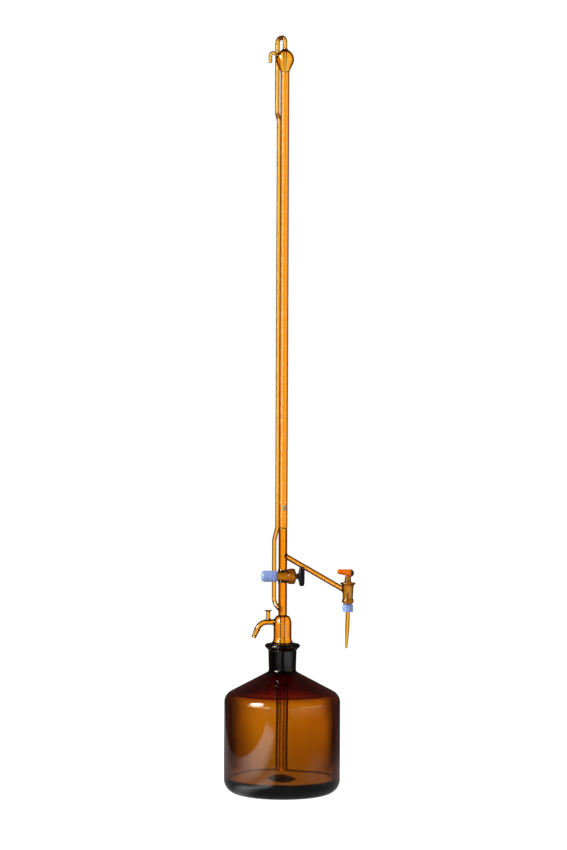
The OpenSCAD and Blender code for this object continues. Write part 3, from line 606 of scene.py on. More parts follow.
outer_face = np.concatenate([
    arc(dome_at, dome_r, dome_r, 90, dome_turn, 24),
    arc(foot_at, foot_round, foot_round, -90, 0, 24),
    arc(shoulder_at, shoulder_round, shoulder_round, 0, 90 - math.degrees(fall), 20),
    neck[1:],
    arc((19.4, rim_z - 2.6), 2.6, 2.6, -58, 90, 18),
])
print("bottle outline", len(outer_face), "points")

# %% Bottle inside
shoulder_wall, heel_round, floor_z = 5.5, 2.2, punt_rise + punt_wall
button_r, button_rise = 19.5, 5.5
wall_r = bottle_r - bottle_wall
socket_z = neck_foot_z - (shoulder_wall - (neck_r - socket_low) * math.sin(fall)) / math.cos(fall)
throat = rounded(
    [(mouth + 1.6, rim_z), (mouth, gauge_z), (socket_low, cone_z), (socket_low, socket_z)], [0.5, 2.0]
)
hollow = rounded(
    [(socket_low, socket_z), (wall_r, shoulder_at[1] + 7.3), (wall_r, floor_z), (button_r, floor_z)],
    [11.0, heel_round], 16,
)
button_round = (button_r**2 + button_rise**2) / (2 * button_rise)
button_turn = math.degrees(math.asin(1 - button_rise / button_round))
button = arc((0, floor_z + button_rise - button_round), button_round, button_round, button_turn, 90, 16)
hollow = np.concatenate([hollow[:-1], button])
bottle_line = np.concatenate([marked(outer_face), marked(throat, 1), marked(hollow)])
bottle_section = dense(bottle_line, False, 6.0)
print("bottle section", len(bottle_section), "rows")

# %% Uneven wall
bottle_points = turned(bottle_section, columns=192)
spin = np.arctan2(bottle_points[..., 1], bottle_points[..., 0])
height = bottle_points[..., 2]
radius = np.hypot(bottle_points[..., 0], bottle_points[..., 1])
uneven = 0.25 * np.sin(3 * spin + 0.02 * height + 0.6) + 0.18 * np.sin(5 * spin - 0.03 * height)
even_z, even_run = 20.0, 20.0
inside = (radius > 24) & (radius < bottle_r - 2.5) & (height > even_z) & (height < shoulder_at[1])
fade = np.clip((height - even_z) / even_run, 0, 1) * np.clip((shoulder_at[1] - height) / even_run, 0, 1)
bottle_points[..., :2] *= (1 + np.where(inside, uneven * fade / np.maximum(radius, 1), 0))[..., None]
piece(
    "blown_bottle", bottle_points, dark_amber, "bottle", "bottle_glass", "reservoir_bottle",
    False, bottle_section[:, 2],
)

# %% [markdown]
# ## Bell, cone and the tubes in the bottle
# The bell is a wide tube drawn in at the top and flared at the foot, where it becomes the ground cone
# that seals the bottle. The dip tube is ringed into its crown. Around it hangs a wider sleeve, drawn
# from the cone's lower end like a funnel.

# %% Bell and cone
bell_wall, bell_r, feed_r, cone_r, cone_low_r = 1.8, 11.3, 5.5, 14.6, 13.0
bell_foot_z, bell_round_z, flare_h, crown_bore = gauge_z + 9.5, gauge_z + 26.0, 7.3, 2.3
crown_h = bell_top - bell_round_z
bell_side = np.concatenate([
    arc((cone_r, bell_foot_z), cone_r - bell_r, flare_h, 270, 180, 12),
    arc((feed_r, bell_round_z), bell_r - feed_r, crown_h - WELD, 0, 90, 20),
])
bell_inside = np.concatenate([
    [(crown_bore, bell_top - WELD), (crown_bore, bell_top - bell_wall)],
    arc((feed_r, bell_round_z), bell_r - feed_r - bell_wall, crown_h - bell_wall, 90, 0, 20),
    arc((cone_r - bell_wall, bell_foot_z), cone_r - bell_r, flare_h, 180, 270, 12),
    [(cone_low_r - bell_wall, cone_z + WELD)],
])
cone_face = [(cone_low_r, cone_z + WELD), (cone_r, gauge_z)]
bell_section = np.concatenate([marked(cone_face, 1), marked(bell_side), marked(bell_inside)])
lathe("bell_and_cone", bell_section, amber, "joint_head")

# %% Dip tube and sleeve
dip_path = Path([(0, 0, dip_end_z), (0, 0, bell_top - bell_wall - WELD)], (1, 0, 0))
dip_r, dip_bore = 3.4, 2.1
fused("drawn_dip_tube", tube(dip_path, dip_r, dip_bore), thin_glass, "dip_tube")
sleeve_r, sleeve_bore, funnel_z, lip_r = 7.6, 6.2, cone_z - 12.0, 0.7
lip_z = dip_end_z + lip_r
sleeve_section = np.concatenate([
    rounded([(sleeve_r, lip_z), (sleeve_r, funnel_z), (cone_low_r, cone_z)], [9.0]),
    rounded([(cone_low_r - bell_wall, cone_z), (sleeve_bore, funnel_z), (sleeve_bore, lip_z)], [9.0]),
    arc((sleeve_r - lip_r, lip_z), lip_r, lip_r, 180, 360, 10)[1:-1],
])
lathe("funnel_sleeve", sleeve_section, thin_glass, "dip_sleeve")

# %% [markdown]
# ## Hose nozzle and vent
# Air comes in here. The nozzle is a bent tube with two soft rings that grip a hose, so its radius
# changes along its path. The vent on top ends in a flange that a finger closes.

# %% Nozzle
nozzle_z, nozzle_r, nozzle_bore, nozzle_fall = bell_round_z + 2.0, 3.5, 1.9, math.radians(66)
nozzle_dir = np.array([-math.cos(nozzle_fall), 0, -math.sin(nozzle_fall)])
nozzle_corner = np.array([-27.6, 0, nozzle_z])
nozzle_tip = nozzle_corner + 21.5 * nozzle_dir
grip = nozzle_tip - np.linspace(13, 3.2, 40)[:, None] * nozzle_dir
nozzle_bend = rounded([(-6, 0, nozzle_z), nozzle_corner, nozzle_tip], 13.0, 24)
nozzle_path = Path(np.concatenate([nozzle_bend[:-1], grip, nozzle_bend[-1:]]), (0, 1, 0))
nozzle = tube(nozzle_path, nozzle_r, nozzle_bore, off_outline(bell_side), flare=2.0)
ring_depths, ring_rise, slim_depth, slim_by, grip_depth = (7.0, 11.0), 0.55, 9.0, 0.5, 13.0


def grip_rings(points):
    """Swells the skin by rise e^-(d - ring)^2 at two depths d behind the tip, and slims the end."""
    depth = (nozzle_tip - points) @ nozzle_dir
    centre = nozzle_tip - depth[..., None] * nozzle_dir
    arm = points - centre
    radius = np.linalg.norm(arm, axis=-1)
    swell = sum(np.exp(-((depth - place) ** 2)) for place in ring_depths)
    slim = -slim_by / (1 + np.exp((depth - slim_depth) / 0.8))
    skin = np.clip((radius - nozzle_bore - 0.15) / (nozzle_r - nozzle_bore - 0.15), 0, 1)
    held = (depth < grip_depth) & (radius < nozzle_r + 0.2)
    change = np.where(held, skin * (ring_rise * swell + slim), 0)
    return centre + arm * ((radius + change) / np.maximum(radius, 1e-6))[..., None]


fused("bent_hose_nozzle", grip_rings(nozzle), bent_glass, "hose_nozzle")

# %% Vent
vent_x, vent_r, vent_bore, vent_top, flange_r = -17.9, 2.65, 1.4, nozzle_z + 15.0, 4.6
vent_path = Path([(vent_x, 0, nozzle_z), (vent_x, 0, vent_top)], (1, 0, 0))
vent_rim = np.concatenate([
    [(2.4, vent_r), (1.7, 2.85), (1.35, 3.4), (1.2, 3.8)],
    arc((0.6, flange_r - 0.6), 0.6, 0.6, 0, 180, 10),
    [(0, 1.9), (0.15, 1.55), (0.5, vent_bore)],
])
nozzle_skin = off_path(nozzle_path, nozzle_r, 30)
vent = tube(vent_path, vent_r, vent_bore, nozzle_skin, None, 0.7, 1.7, rim=vent_rim, reach=12)
fused("finger_vent", vent, bent_glass, "vent_stub")

# %% [markdown]
# ## The main tube
# Three lengths of tube stand on one axis: thick tube below and above the drain cock, and the even-bored
# graduated tube above the seam. Ends that meet the cock's barrel are saddles.

# %% Main tube
barrel_r, scale_r, scale_bore = 8.2, 5.6, 3.85
barrel_side = off_level(drain_at, barrel_r)
feed_bore = 3.0
thick_columns = (
    ("lower_column", "lower_tube", bell_top + WELD),
    ("upper_column", "feed_tube", seam_z - WELD),
)
for name, node, end_z in thick_columns:
    column = Path([drain_at, (0, 0, end_z)], (1, 0, 0))
    fused(name, tube(column, feed_r, feed_bore, barrel_side, flare=0.9), column_glass, node)
bore_path = Path([(0, 0, seam_z + WELD), (0, 0, tube_top - WELD)], (1, 0, 0))
measuring = tube(bore_path, scale_r, scale_bore, columns=96)
fused("measuring_tube", measuring, amber, "graduated_tube")

# %% [markdown]
# ## Bulb, zero tip and vent hook
# The bulb is blown from the tube's own end. Inside hangs the fine tip that sets the zero, and on its
# shoulder sits a small bent vent, which lets air in and keeps dust out.

# %% Bulb
bulb_r, bulb_h, bulb_wall, tip_bore = 11.4, 12.3, 1.3, 0.9
bulb_mid = bulb_top - bulb_h
bulb_foot = [(scale_r, tube_top + WELD), (scale_r + 0.2, tube_top + 1.0)]
bulb_dome = arc((0, bulb_mid), bulb_r, bulb_h, -35, 72, 30)
bulb_outline = np.concatenate([bulb_foot, bulb_dome, [(2.85, bulb_top - WELD)]])
bulb_section = np.concatenate([
    bulb_outline,
    [(tip_bore, bulb_top - WELD), (tip_bore, bulb_top - bulb_wall)],
    arc((0, bulb_mid), bulb_r - bulb_wall, bulb_h - bulb_wall, 80, -35, 30),
    [(scale_r - bulb_wall, tube_top + 0.6), (scale_r - bulb_wall, tube_top + WELD)],
])
lathe("blown_bulb", bulb_section, amber, "overflow_bulb")

# %% Zero tip and hook
zero_root = bulb_top - bulb_wall - WELD
zero_end = zero_root - 23.8
zero_section = np.concatenate([
    [(tip_bore, zero_root), (tip_bore, zero_end)],
    arc((1.1, zero_end), 0.2, 0.2, 180, 360, 8)[1:-1],
    rounded([(1.3, zero_end), (2.2, zero_root - 8.0), (2.2, zero_root)], [20.0]),
])
lathe("fine_zero_tip", zero_section, thin_glass, "zero_tip", columns=48)
hook_r, hook_bore = 2.3, 1.3
hook_root = np.array([0, 0, bulb_mid - bulb_h / 4])
hook_corner = hook_root + 18.2 * np.array([-1, 0, math.tan(math.radians(40))])
hook_path = Path(rounded([hook_root, hook_corner, hook_corner - (0, 0, 16.5)], 3.6, 24), (0, 1, 0))
hook = tube(hook_path, hook_r, hook_bore, off_outline(bulb_outline), flare=0.8)
fused("bent_vent_hook", hook, bent_glass, "vent_hook")

# %% [markdown]
# ## Riser and loop
# The riser leaves the foot of the lower tube, swings round the drain cock, runs up close beside the
# graduated tube and swings out again past the bulb. The loop carries it over the top and down into the
# bulb's crown. Both are one bent tube on the real object.


# %% Riser
def beside(distance, bearing):
    """A place beside the axis, by distance and bearing in degrees."""
    turn = math.radians(bearing)
    return distance * np.array([math.cos(turn), math.sin(turn)])


riser_r, riser_bore = 2.8, 1.6
riser_low = np.array([-10.9, 11.7])
riser_run = beside(scale_r + riser_r + 0.3, 144.5)
riser_top = beside(bulb_r + riser_r + 0.3, 131)
riser_root = np.array([0, 0, bell_top + 3.0])
riser_corners = [
    riser_root,
    (*riser_low, riser_root[2] + 12),
    (*riser_low, seam_z - 16),
    (*riser_run, seam_z),
    (*riser_run, tube_top - 60),
    (*riser_top, tube_top - 50),
    (*riser_top, bulb_top - WELD),
]
riser_path = Path(rounded(riser_corners, [14, 14, 14, 8, 8], 24), (11.7, 10.9, 0))
riser = tube(riser_path, riser_r, riser_bore, off_axis(feed_r), flare=0.8)
fused("bent_riser", riser, bent_glass, "riser_tube")

# %% Top loop
over_z = bulb_top + 15.7
loop_corners = [
    (*riser_top, bulb_top + WELD), (*riser_top, over_z), (0, 0, over_z), (0, 0, bulb_top - 1.4)
]
loop_path = Path(rounded(loop_corners, 6.4, 24), (riser_top[1], -riser_top[0], 0))
crown = off_outline(np.concatenate([bulb_outline, [(0, bulb_top)]]))
loop_points = tube(loop_path, riser_r, riser_bore, None, crown, 2.2, reach=8.0)
fused("bent_top_loop", loop_points, bent_glass, "top_loop")

# %% [markdown]
# ## Delivery barrel and side arm
# The side arm is a straight, thick-walled tube between two saddles: one on the upper column and one on
# the delivery barrel, so the barrel's outline comes first.

# %% Delivery barrel
deep, above = 17.7, barrel_above
delivery_outline = rounded(
    [(6.25, -deep), (7.15, -deep + 2.0), (7.45, -deep + 3.2), (7.15, -deep + 4.4), (6.3, -deep + 6.6),
     (7.3, above - 3.3), (9.4, above - 1.5), (9.4, above), (5.6, above)],
    [0.8, 1.0, 0.8, 3.0, 3.0, 0.5, 0.6],
)
delivery_bore = [(5.45, above), (4.165, -deep)]
delivery_section = np.concatenate([marked(delivery_outline), marked(delivery_bore, 1)])
lathe("delivery_barrel", delivery_section, cock_glass, "delivery_cock_barrel", delivery_at)

# %% Side arm
arm_r, arm_bore = 3.3, 1.6
arm_path = Path(np.linspace(arm_at, arm_end, 24), (0, 0, 1))
arm_target = off_outline(delivery_outline[:-12] + np.array([0, delivery_at[2]]), delivery_at)
arm_points = tube(arm_path, arm_r, arm_bore, off_axis(feed_r), arm_target, 1.0)
fused("sloping_arm", arm_points, bent_glass, "side_arm")

# %% [markdown]
# ## Drain cock
# A ground plug turns in a ground barrel. The barrel lies across the main tube and ends in a rolled
# collar. The plug's thin end is a threaded stud with a flat: the washer rides on the flat, so turning
# the key can't work the nut loose.

# %% Drain barrel
near, far_end = 6.2, 15.8
drain_outline = rounded(
    [(5.3, -near), (barrel_r, -near), (barrel_r, 6.1), (9.7, 7.6), (9.7, far_end), (6.5, far_end)],
    [0.8, 1.0, 1.6, 2.6],
)
drain_section = np.concatenate([marked(drain_outline), marked([(6.245, far_end), (5.145, -near)], 1)])
lathe("drain_barrel", drain_section, cock_glass, "drain_cock_barrel", drain_at, ALONG_X)

# %% [markdown]
# Both keys come from one function. The stud's thread is cut inwards from the stud's own radius, as a
# ridge that climbs one pitch for each turn: depth times a triangle wave of h / pitch - a / 2 pi.


# %% Keys
THREAD_PITCH = 1.5


def key(section, thread, columns=96):
    """A turned key with a thread between two heights: r - depth * |triangle(h / pitch - a / 2 pi)|."""
    bottom, top, pitch, depth = thread
    section = dense(section, True, 0.4)
    points = turned(section, columns=columns)
    turn = np.linspace(0, 1, columns, endpoint=False)[None, :]
    h, r = section[:, 1:2], section[:, :1]
    phase = h / pitch - turn
    ridge = 2 * np.abs(phase - np.floor(phase + 0.5))
    skin = r > 2.0
    fade = np.clip((h - bottom) / pitch, 0, 1) * np.clip((top - h) / pitch, 0, 1) * skin
    points[..., :2] *= (1 - depth * ridge * fade / np.maximum(r, 1))[..., None]
    return points, section[:, 2]


drain_stud = marked([(0, -24.4), (2.7, -24.4), (3.0, -24.1), (3.0, -7.7), (4.6, -7.7), (4.65, -6.4)])
drain_plug = marked([(5.09, -6.3), (6.19, 15.8)], 1)
drain_stem = marked([(5.9, 16.2), (3.5, 16.8), (3.4, 19.6), (0, 19.6)])
drain_line = np.concatenate([drain_stud, drain_plug, drain_stem])
key_points, key_ground = key(drain_line, (-24.2, -13.0, THREAD_PITCH, 0.45))
key_points = drain_at + key_points @ ALONG_X
piece(
    "drain_plug", key_points, plug_glass, "drain_key", "amber_glass", "drain_cock_key", False, key_ground
)

# %% [markdown]
# The handle is a flat bar with round ends, moulded in black. Its half width and half thickness follow
# a superellipse, and the side towards the barrel swells into the stem.


# %% Drain handle
def bar(length, width, thick, swell, power, rows=72, columns=72):
    """Closed bar along z: half sizes (w, t)(1 - |u|^p)^(1/p), less swell e^-(z/foot)^2 on one side."""
    corner, foot = 0.7, 4.5
    u = np.sin(np.linspace(-np.pi / 2, np.pi / 2, rows))[:, None]
    size = np.clip(1 - np.abs(u) ** power, 0, 1) ** (1 / power)
    angle = circle(columns)[None, :]
    across = np.sign(np.cos(angle)) * np.abs(np.cos(angle)) ** corner
    through = np.sign(np.sin(angle)) * np.abs(np.sin(angle)) ** corner
    z = length / 2 * u + 0 * angle
    x = thick / 2 * size * across
    x = x - swell * np.clip(-across, 0, 1) * size * np.exp(-((z / foot) ** 2))
    return np.stack([x, width / 2 * size * through, z], axis=-1)


handle_at = np.array([high("drain_cock_handle")[0] - 3.8, 0, drain_z])
bar_points = handle_at + bar(24.6, 8.8, 7.4, 2.4, 4.0)
piece("black_bar", bar_points, black, "drain_key", "black_plastic", "drain_cock_handle", False)

# %% [markdown]
# ## Seals, washers and nuts
# A seal is a ring of round section. A washer is a disc with a flat-sided hole. A nut is a cap with
# flutes for the fingers: its radius dips n times round, and the flutes fade out at both ends.


# %% Seal, washer, nut
FLUTES, FLUTE_DEPTH = 20, 0.05


def ring(radius, thick, level, at, axes):
    """Ring of round section: (R + r cos b) round the axis, level + r sin b along it."""
    return turned(arc((radius, level), thick / 2, thick / 2, 0, 360, 24)[:-1], at, axes, 72)


def washer(outer, hole, flat, low_end, high_end, at, axes, columns=96):
    """Disc with rounded edges and a hole of radius min(hole, flat / cos a): a round with one flat."""
    corners = [(hole, low_end), (outer, low_end), (outer, high_end), (hole, high_end)]
    section = rounded(corners, 0.2 * (high_end - low_end), 6)
    points = turned(section, columns=columns)
    facing = np.cos(circle(columns))
    limit = np.minimum(hole, flat / np.maximum(facing, 1e-3)) / hole
    points[[0, -1], :, :2] *= limit[None, :, None]
    return np.asarray(at) + points @ axes


def nut(outline, loop, flutes, depth, low_end, high_end, at, axes, columns=240):
    """Fluted cap: r (1 - depth |cos(n a / 2)|^6) between two heights, plain beyond them."""
    section = dense(outline, loop, 0.5)
    points = turned(section, columns=columns)
    angle = circle(columns)[None, :]
    h, r = section[:, 1:], section[:, :1]
    between = np.clip((h - low_end) / 1.2, 0, 1) * np.clip((high_end - h) / 0.8, 0, 1)
    skin = r > 0.75 * section[:, 0].max()
    points[..., :2] *= (1 - depth * np.abs(np.cos(flutes * angle / 2)) ** 6 * between * skin)[..., None]
    return np.asarray(at) + points @ axes


# %% Drain seal, washer, nut
cap_hole, cap_r, cap_end, cap_floor, cap_top = 3.05, 7.1, -27.2, -25.0, -11.6
seal = ring(5.39, 1.36, -7.0, drain_at, ALONG_X)
piece("drain_seal_ring", seal, grey_rubber, "drain_key", "seal_rubber", "drain_cock_seal")
disc = washer(7.4, cap_hole, 2.45, -11.5, -7.8, drain_at, ALONG_X)
piece("drain_flat_washer", disc, lilac, "drain_washer", "pale_plastic", "drain_cock_washer")
cap_corners = [
    (0, cap_end), (cap_r, cap_end), (cap_r, cap_top),
    (cap_hole, cap_top), (cap_hole, cap_floor), (0, cap_floor),
]
cap_outline = rounded(cap_corners, [4.5, 1.3, 0.3, 0.3], 12)
cap = nut(cap_outline, False, FLUTES, FLUTE_DEPTH, cap_floor, -14.4, drain_at, ALONG_X)
piece("drain_cap_nut", cap, nut_blue, "drain_nut", "nut_plastic", "drain_cock_nut", False)

# %% [markdown]
# ## Delivery cock
# The delivery key is hollow: the liquid comes in at the side, turns down the plug and leaves through
# the tip, which turns with the key. Stem, lever, plug and tip are one piece of glass on the real one.

# %% Delivery key
stud_end, stud_bore, tip_length = -28.08, 1.25, 44.75
delivery_stud = marked([
    (stud_bore, stud_end), (3.0, stud_end), (3.3, -27.8), (3.3, -18.78), (3.75, -18.78), (3.8, -17.9)
])
delivery_plug = marked([(4.11, -17.7), (5.395, 8.0)], 1)
delivery_stem = marked([
    (5.1, 8.5), (4.2, 9.2), (3.9, 12.0), (3.9, 15.6), (0, 15.6), (0, -3.3), (stud_bore, -4.3)
])
delivery_line = np.concatenate([delivery_stud, delivery_plug, delivery_stem])
key_points, key_ground = key(delivery_line, (-27.9, -20.4, THREAD_PITCH, 0.4))
key_points = delivery_at + key_points
piece(
    "delivery_plug", key_points, shaded_key_glass, "delivery_key", "amber_glass", "delivery_cock_key",
    True, key_ground,
)

# %% Delivery tip
tip_top, tip_end = stud_end - WELD, stud_end - tip_length
tip_shoulder = tip_top - 22.0
tip_section = np.concatenate([
    rounded([(stud_bore, tip_top), (stud_bore, tip_shoulder), (0.6, tip_end)], [60.0], 16),
    arc((1.0, tip_end), 0.4, 0.4, 180, 360, 8)[1:-1],
    rounded([(1.4, tip_end), (2.6, tip_shoulder), (2.6, tip_top)], [90.0], 16),
])
tip_points = turned(dense(tip_section, True, 3.0), columns=64)
lean = np.clip((tip_top - tip_points[..., 2]) / tip_length, 0, 1)
tip_points[..., 0] -= 1.6 * lean**1.5
piece("drawn_tip", delivery_at + tip_points, bent_glass, "delivery_key", "amber_glass", "delivery_tip")


# %% Glass lever
def lever(root_r, end_r, past, reach, rise, flat, columns=64):
    """Teardrop: one skin round two balls. Along x the half height runs evenly from one to the other."""
    turn = np.radians(np.linspace(0, 90, 16))
    end_x = -(reach - end_r)
    tail = np.stack([end_x - end_r * np.cos(turn), end_r * np.sin(turn)], axis=-1)
    share = np.linspace(0, 1, 40)[1:-1]
    trunk = np.stack([end_x + (past - end_x) * share, end_r + (root_r - end_r) * share**1.5], axis=-1)
    head = np.stack([past + root_r * np.sin(turn), root_r * np.cos(turn)], axis=-1)
    line = np.concatenate([tail, trunk, head])
    lift = rise * np.clip((past - line[:, 0]) / (past - end_x), 0, 1)
    angle = circle(columns)[None, :]
    x = line[:, :1] + 0 * angle
    y = flat * line[:, 1:] * np.cos(angle)
    return np.stack([x, y, lift[:, None] + line[:, 1:] * np.sin(angle)], axis=-1)


lever_at = delivery_at + np.array([0, 0, above + 11.8])
lever_points = lever(4.85, 3.25, 2.8, 13.5, 1.7, 0.8) + lever_at
piece(
    "glass_lever", lever_points, lever_orange, "delivery_key", "amber_glass", "delivery_cock_handle",
    False,
)

# %% Delivery seal, washer, nut
nut_hole, nut_r, nut_top = 3.35, 6.6, -19.98
seal = ring(4.37, 0.94, -18.29, delivery_at, ALONG_Z)
piece("delivery_seal_ring", seal, grey_rubber, "delivery_key", "seal_rubber", "delivery_cock_seal")
disc = washer(6.2, nut_hole, 2.69, -19.88, -18.88, delivery_at, ALONG_Z)
piece("delivery_flat_washer", disc, lilac, "delivery_washer", "pale_plastic", "delivery_cock_washer")
ring_corners = [
    (nut_hole, -24.0), (nut_hole, stud_end), (nut_r, stud_end),
    (nut_r, nut_top), (nut_hole, nut_top), (nut_hole, -23.9),
]
ring_outline = rounded(ring_corners, [0.3, 0.6, 0.4, 0.3], 8)
ring_nut = nut(ring_outline, True, FLUTES, FLUTE_DEPTH, -27.6, -21.4, delivery_at, ALONG_Z)
piece("delivery_ring_nut", ring_nut, nut_blue, "delivery_nut", "nut_plastic", "delivery_cock_nut")

# %% [markdown]
# ## The scale
# Pale enamel is printed on the tube and fired. Long strokes mark each millilitre, middle ones the halves
# and short ones the tenths. Each stroke is a thin closed bar wrapped part of the way round the tube. The
# numbers are plain figures, made flat first and then bent round with x -> angle.

# %% Strokes
zero_z, per_ml, capacity = tube_top - 4.7, 21.3, 25


def strokes(levels, start, end, width, cuts, lift=0.05):
    """Bars round the tube: four corners carried from one bearing to another, at every level."""
    bearing = np.radians(np.linspace(start, end, cuts + 1))[None, :, None]
    skin = scale_r + np.array([0.004, lift, lift, 0.004])
    level = np.asarray(levels, float)[:, None, None] + width * np.array([-0.5, -0.5, 0.5, 0.5])
    level = level + 0 * bearing
    x, y = skin * np.cos(bearing) + 0 * level, skin * np.sin(bearing) + 0 * level
    points = np.stack([x, y, level], axis=-1)
    number = np.arange(level.size).reshape(level.shape)
    here, ahead = number[:, :-1], number[:, 1:]
    sides = np.stack([here, ahead, np.roll(ahead, -1, axis=2), np.roll(here, -1, axis=2)], axis=-1)
    caps = number[:, 0], number[:, -1, ::-1]
    return points.reshape(-1, 3), np.concatenate([sides.reshape(-1, 4), *caps])


def join(parts):
    """Points and faces of several sets as one."""
    starts = np.cumsum([0] + [len(points) for points, _ in parts])
    points = np.concatenate([points for points, _ in parts])
    return points, [tuple(face + start) for (_, faces), start in zip(parts, starts) for face in faces]


def printed(name, parts, finish):
    """One mesh of enamel from sets of points and faces."""
    points, faces = join(parts)
    mesh = bpy.data.meshes.new(name)
    mesh.from_pydata((points * MM).tolist(), [], faces)
    return place(name, mesh, finish, "burette", "amber_glass")


tenths = np.arange(capacity * 10 + 1)
level_of = zero_z - tenths * per_ml / 10
printed("scale_strokes", [
    strokes(level_of[tenths % 10 == 0], -145, -78, 0.34, 14),
    strokes(level_of[tenths % 10 == 5], -145, -96, 0.32, 10),
    strokes(level_of[tenths % 5 != 0], -141, -112, 0.26, 6),
], enamel)


# %% Figures
def figure(text, level, bearing, size):
    """A plain figure bent round the tube: angle = bearing + x / r, height = level + y."""
    curve = bpy.data.curves.new("figure", "FONT")
    curve.body, curve.size, curve.extrude = text, size, 0.02
    curve.align_x, curve.align_y, curve.resolution_u = "CENTER", "CENTER", 2
    flat = bpy.data.objects.new("figure", curve)
    bpy.context.scene.collection.objects.link(flat)
    bpy.context.view_layer.update()
    shape = bpy.data.meshes.new_from_object(flat.evaluated_get(bpy.context.evaluated_depsgraph_get()))
    co = np.empty(len(shape.vertices) * 3, np.float32)
    shape.vertices.foreach_get("co", co)
    x, y, z = co.reshape(-1, 3).astype(float).T
    faces = [np.array(face.vertices) for face in shape.polygons]
    bpy.data.objects.remove(flat)
    bpy.data.meshes.remove(shape)
    bpy.data.curves.remove(curve)
    turn, r = math.radians(bearing) + x / scale_r, scale_r + 0.045 + z
    return np.stack([r * np.cos(turn), r * np.sin(turn), level + y], axis=-1), faces


numbers = [figure(str(n), zero_z - n * per_ml, -62, 2.4) for n in range(1, capacity + 1)]
printed("scale_figures", numbers, enamel)
printed("enamel_patch", [strokes([seam_z + 25.3], -97, -38, 6.2, 16, 0.06)], label)

# %% [markdown]
# ## Stage and light
# Glass shows what surrounds it. A photographer lights dark glass from behind with a bright card and
# keeps the rest of the room dim: the card fills the middle of each tube, and the dim room draws the
# brown lines along its edges, which the glass finishes darken further with painted shade. Only light
# that passed through glass sees these cards, which stand all round, so that the part looks alike from
# every side. Everything else is lit by an even white sky.


# %% Sky helper
class Sky(Finish):
    """The surroundings: the same node helper on the world's tree."""

    def __init__(self):
        self.world = bpy.data.worlds.new("studio")
        bpy.context.scene.world = self.world
        self.world.use_nodes = True
        self.tree = self.world.node_tree
        self.tree.nodes.clear()
        self.place = self.add("ShaderNodeTexCoord", output="Generated")


def ray(finish, kind):
    return finish.add("ShaderNodeLightPath", None, None, kind)


# %% Cards and light boxes
def card(bearing, middle, every, inner, outer):
    """1 within inner degrees of a card's middle, 0 past outer; cards stand every so many degrees."""
    off = (bearing - math.radians(middle)).fold(math.radians(every / 2))
    return 1 - off.step(math.radians(inner), math.radians(outer))


def cards(bearing):
    """Wide cards before and behind, a little to the right, others at the sides, narrow ones between."""
    wide = card(bearing, 10, 180, 27, 39)
    side = card(bearing, 90, 180, 16, 26)
    return wide.larger(side).larger(card(bearing, 0, 45, 5, 9))


def between(value, *ends):
    """0, rising to 1 between the first two ends, falling to 0 between the last two."""
    return value.step(ends[0], ends[1]) - value.step(ends[2], ends[3])


def soft_boxes(leftward):
    """Light boxes seen in reflections: a bright one 24 to 70 degrees to the left, a weak one right."""
    bright, weak = 7.0, 1.8
    left = between(leftward, 0.33, 0.5, 1.1, 1.35) * bright
    return left + between(leftward, -1.6, -1.35, -0.7, -0.5) * weak


# %% Sky
# Strength between the cards, strength in reflections, and the colour of the light boxes
GAP, MIRRORED, WARM = 0.3, 0.04, (1, 0.95, 0.5, 1)
sky = Sky()
east, north, over = (sky.part(sky.place, name) for name in "XYZ")
bearing = east.math("ARCTAN2", east, north)
room = (GAP + (1 - GAP) * cards(bearing)) * (1 - over.step(0.2, 0.8) * 0.8)
leftward = east.math("ARCTAN2", east * -1, north * -1)
boxes = soft_boxes(leftward) * between(over, -0.05, -0.03, 0.16, 0.22)
spot_bearing, spot_rise, spot_power = 0.96, 0.4, 28.0
out_of_middle = ((leftward - spot_bearing) * 2.9) ** 2 + ((over - spot_rise) * 3.2) ** 2
hot_spot = (1 - out_of_middle.step(0.05, 1.0)) * spot_power
through = ray(sky, "Is Transmission Ray")
bounced = ray(sky, "Is Glossy Ray") * (1 - through)
dulled = 0.6
dimmer = through * (1 - room) + bounced * (1 - MIRRORED) + ray(sky, "Is Diffuse Ray") * dulled
strength = 1 - dimmer + bounced * (boxes + hot_spot)
light = sky.mix(bounced * boxes.step(0.2, 1.0), (1, 1, 1, 1), WARM)
back = sky.add("ShaderNodeBackground", None, {"Color": light, "Strength": strength})
sky.add("ShaderNodeOutputWorld", None, {"Surface": back})
print("sky ready")

# %% [markdown]
# The floor is a plain white sheet. Through the bottle it is seen as narrow lit strips that widen with
# distance, with a dark round where the bottle stands, because hardly any light gets under it. In the
# bottle's skin it is mirrored as one bright sheet on the left, and a weaker one on the right.

# %% Floor paper
floor_r, floor_corners = 40.0, 96
floor_angle = circle(floor_corners)
floor_ring = np.stack(
    [floor_r * np.cos(floor_angle), floor_r * np.sin(floor_angle), 0 * floor_angle], axis=-1
)
floor_mesh = bpy.data.meshes.new("floor")
floor_mesh.from_pydata(floor_ring.tolist(), [], [list(range(floor_corners))])
sheet = Finish("pale_floor")
fibre = sheet.noise((40, 40, 40))
sheet_sockets = {
    "Base Color": sheet.mix(fibre, (0.2, 0.2, 0.2, 1), (0.21, 0.21, 0.21, 1)),
    "Roughness": 1.0,
    "Specular IOR Level": 0.0,
    "Emission Color": (1, 1, 1, 1),
    "Emission Strength": 0.97,
}
paper = sheet.add("ShaderNodeBsdfPrincipled", None, sheet_sockets)
print("floor", floor_corners, "corners")

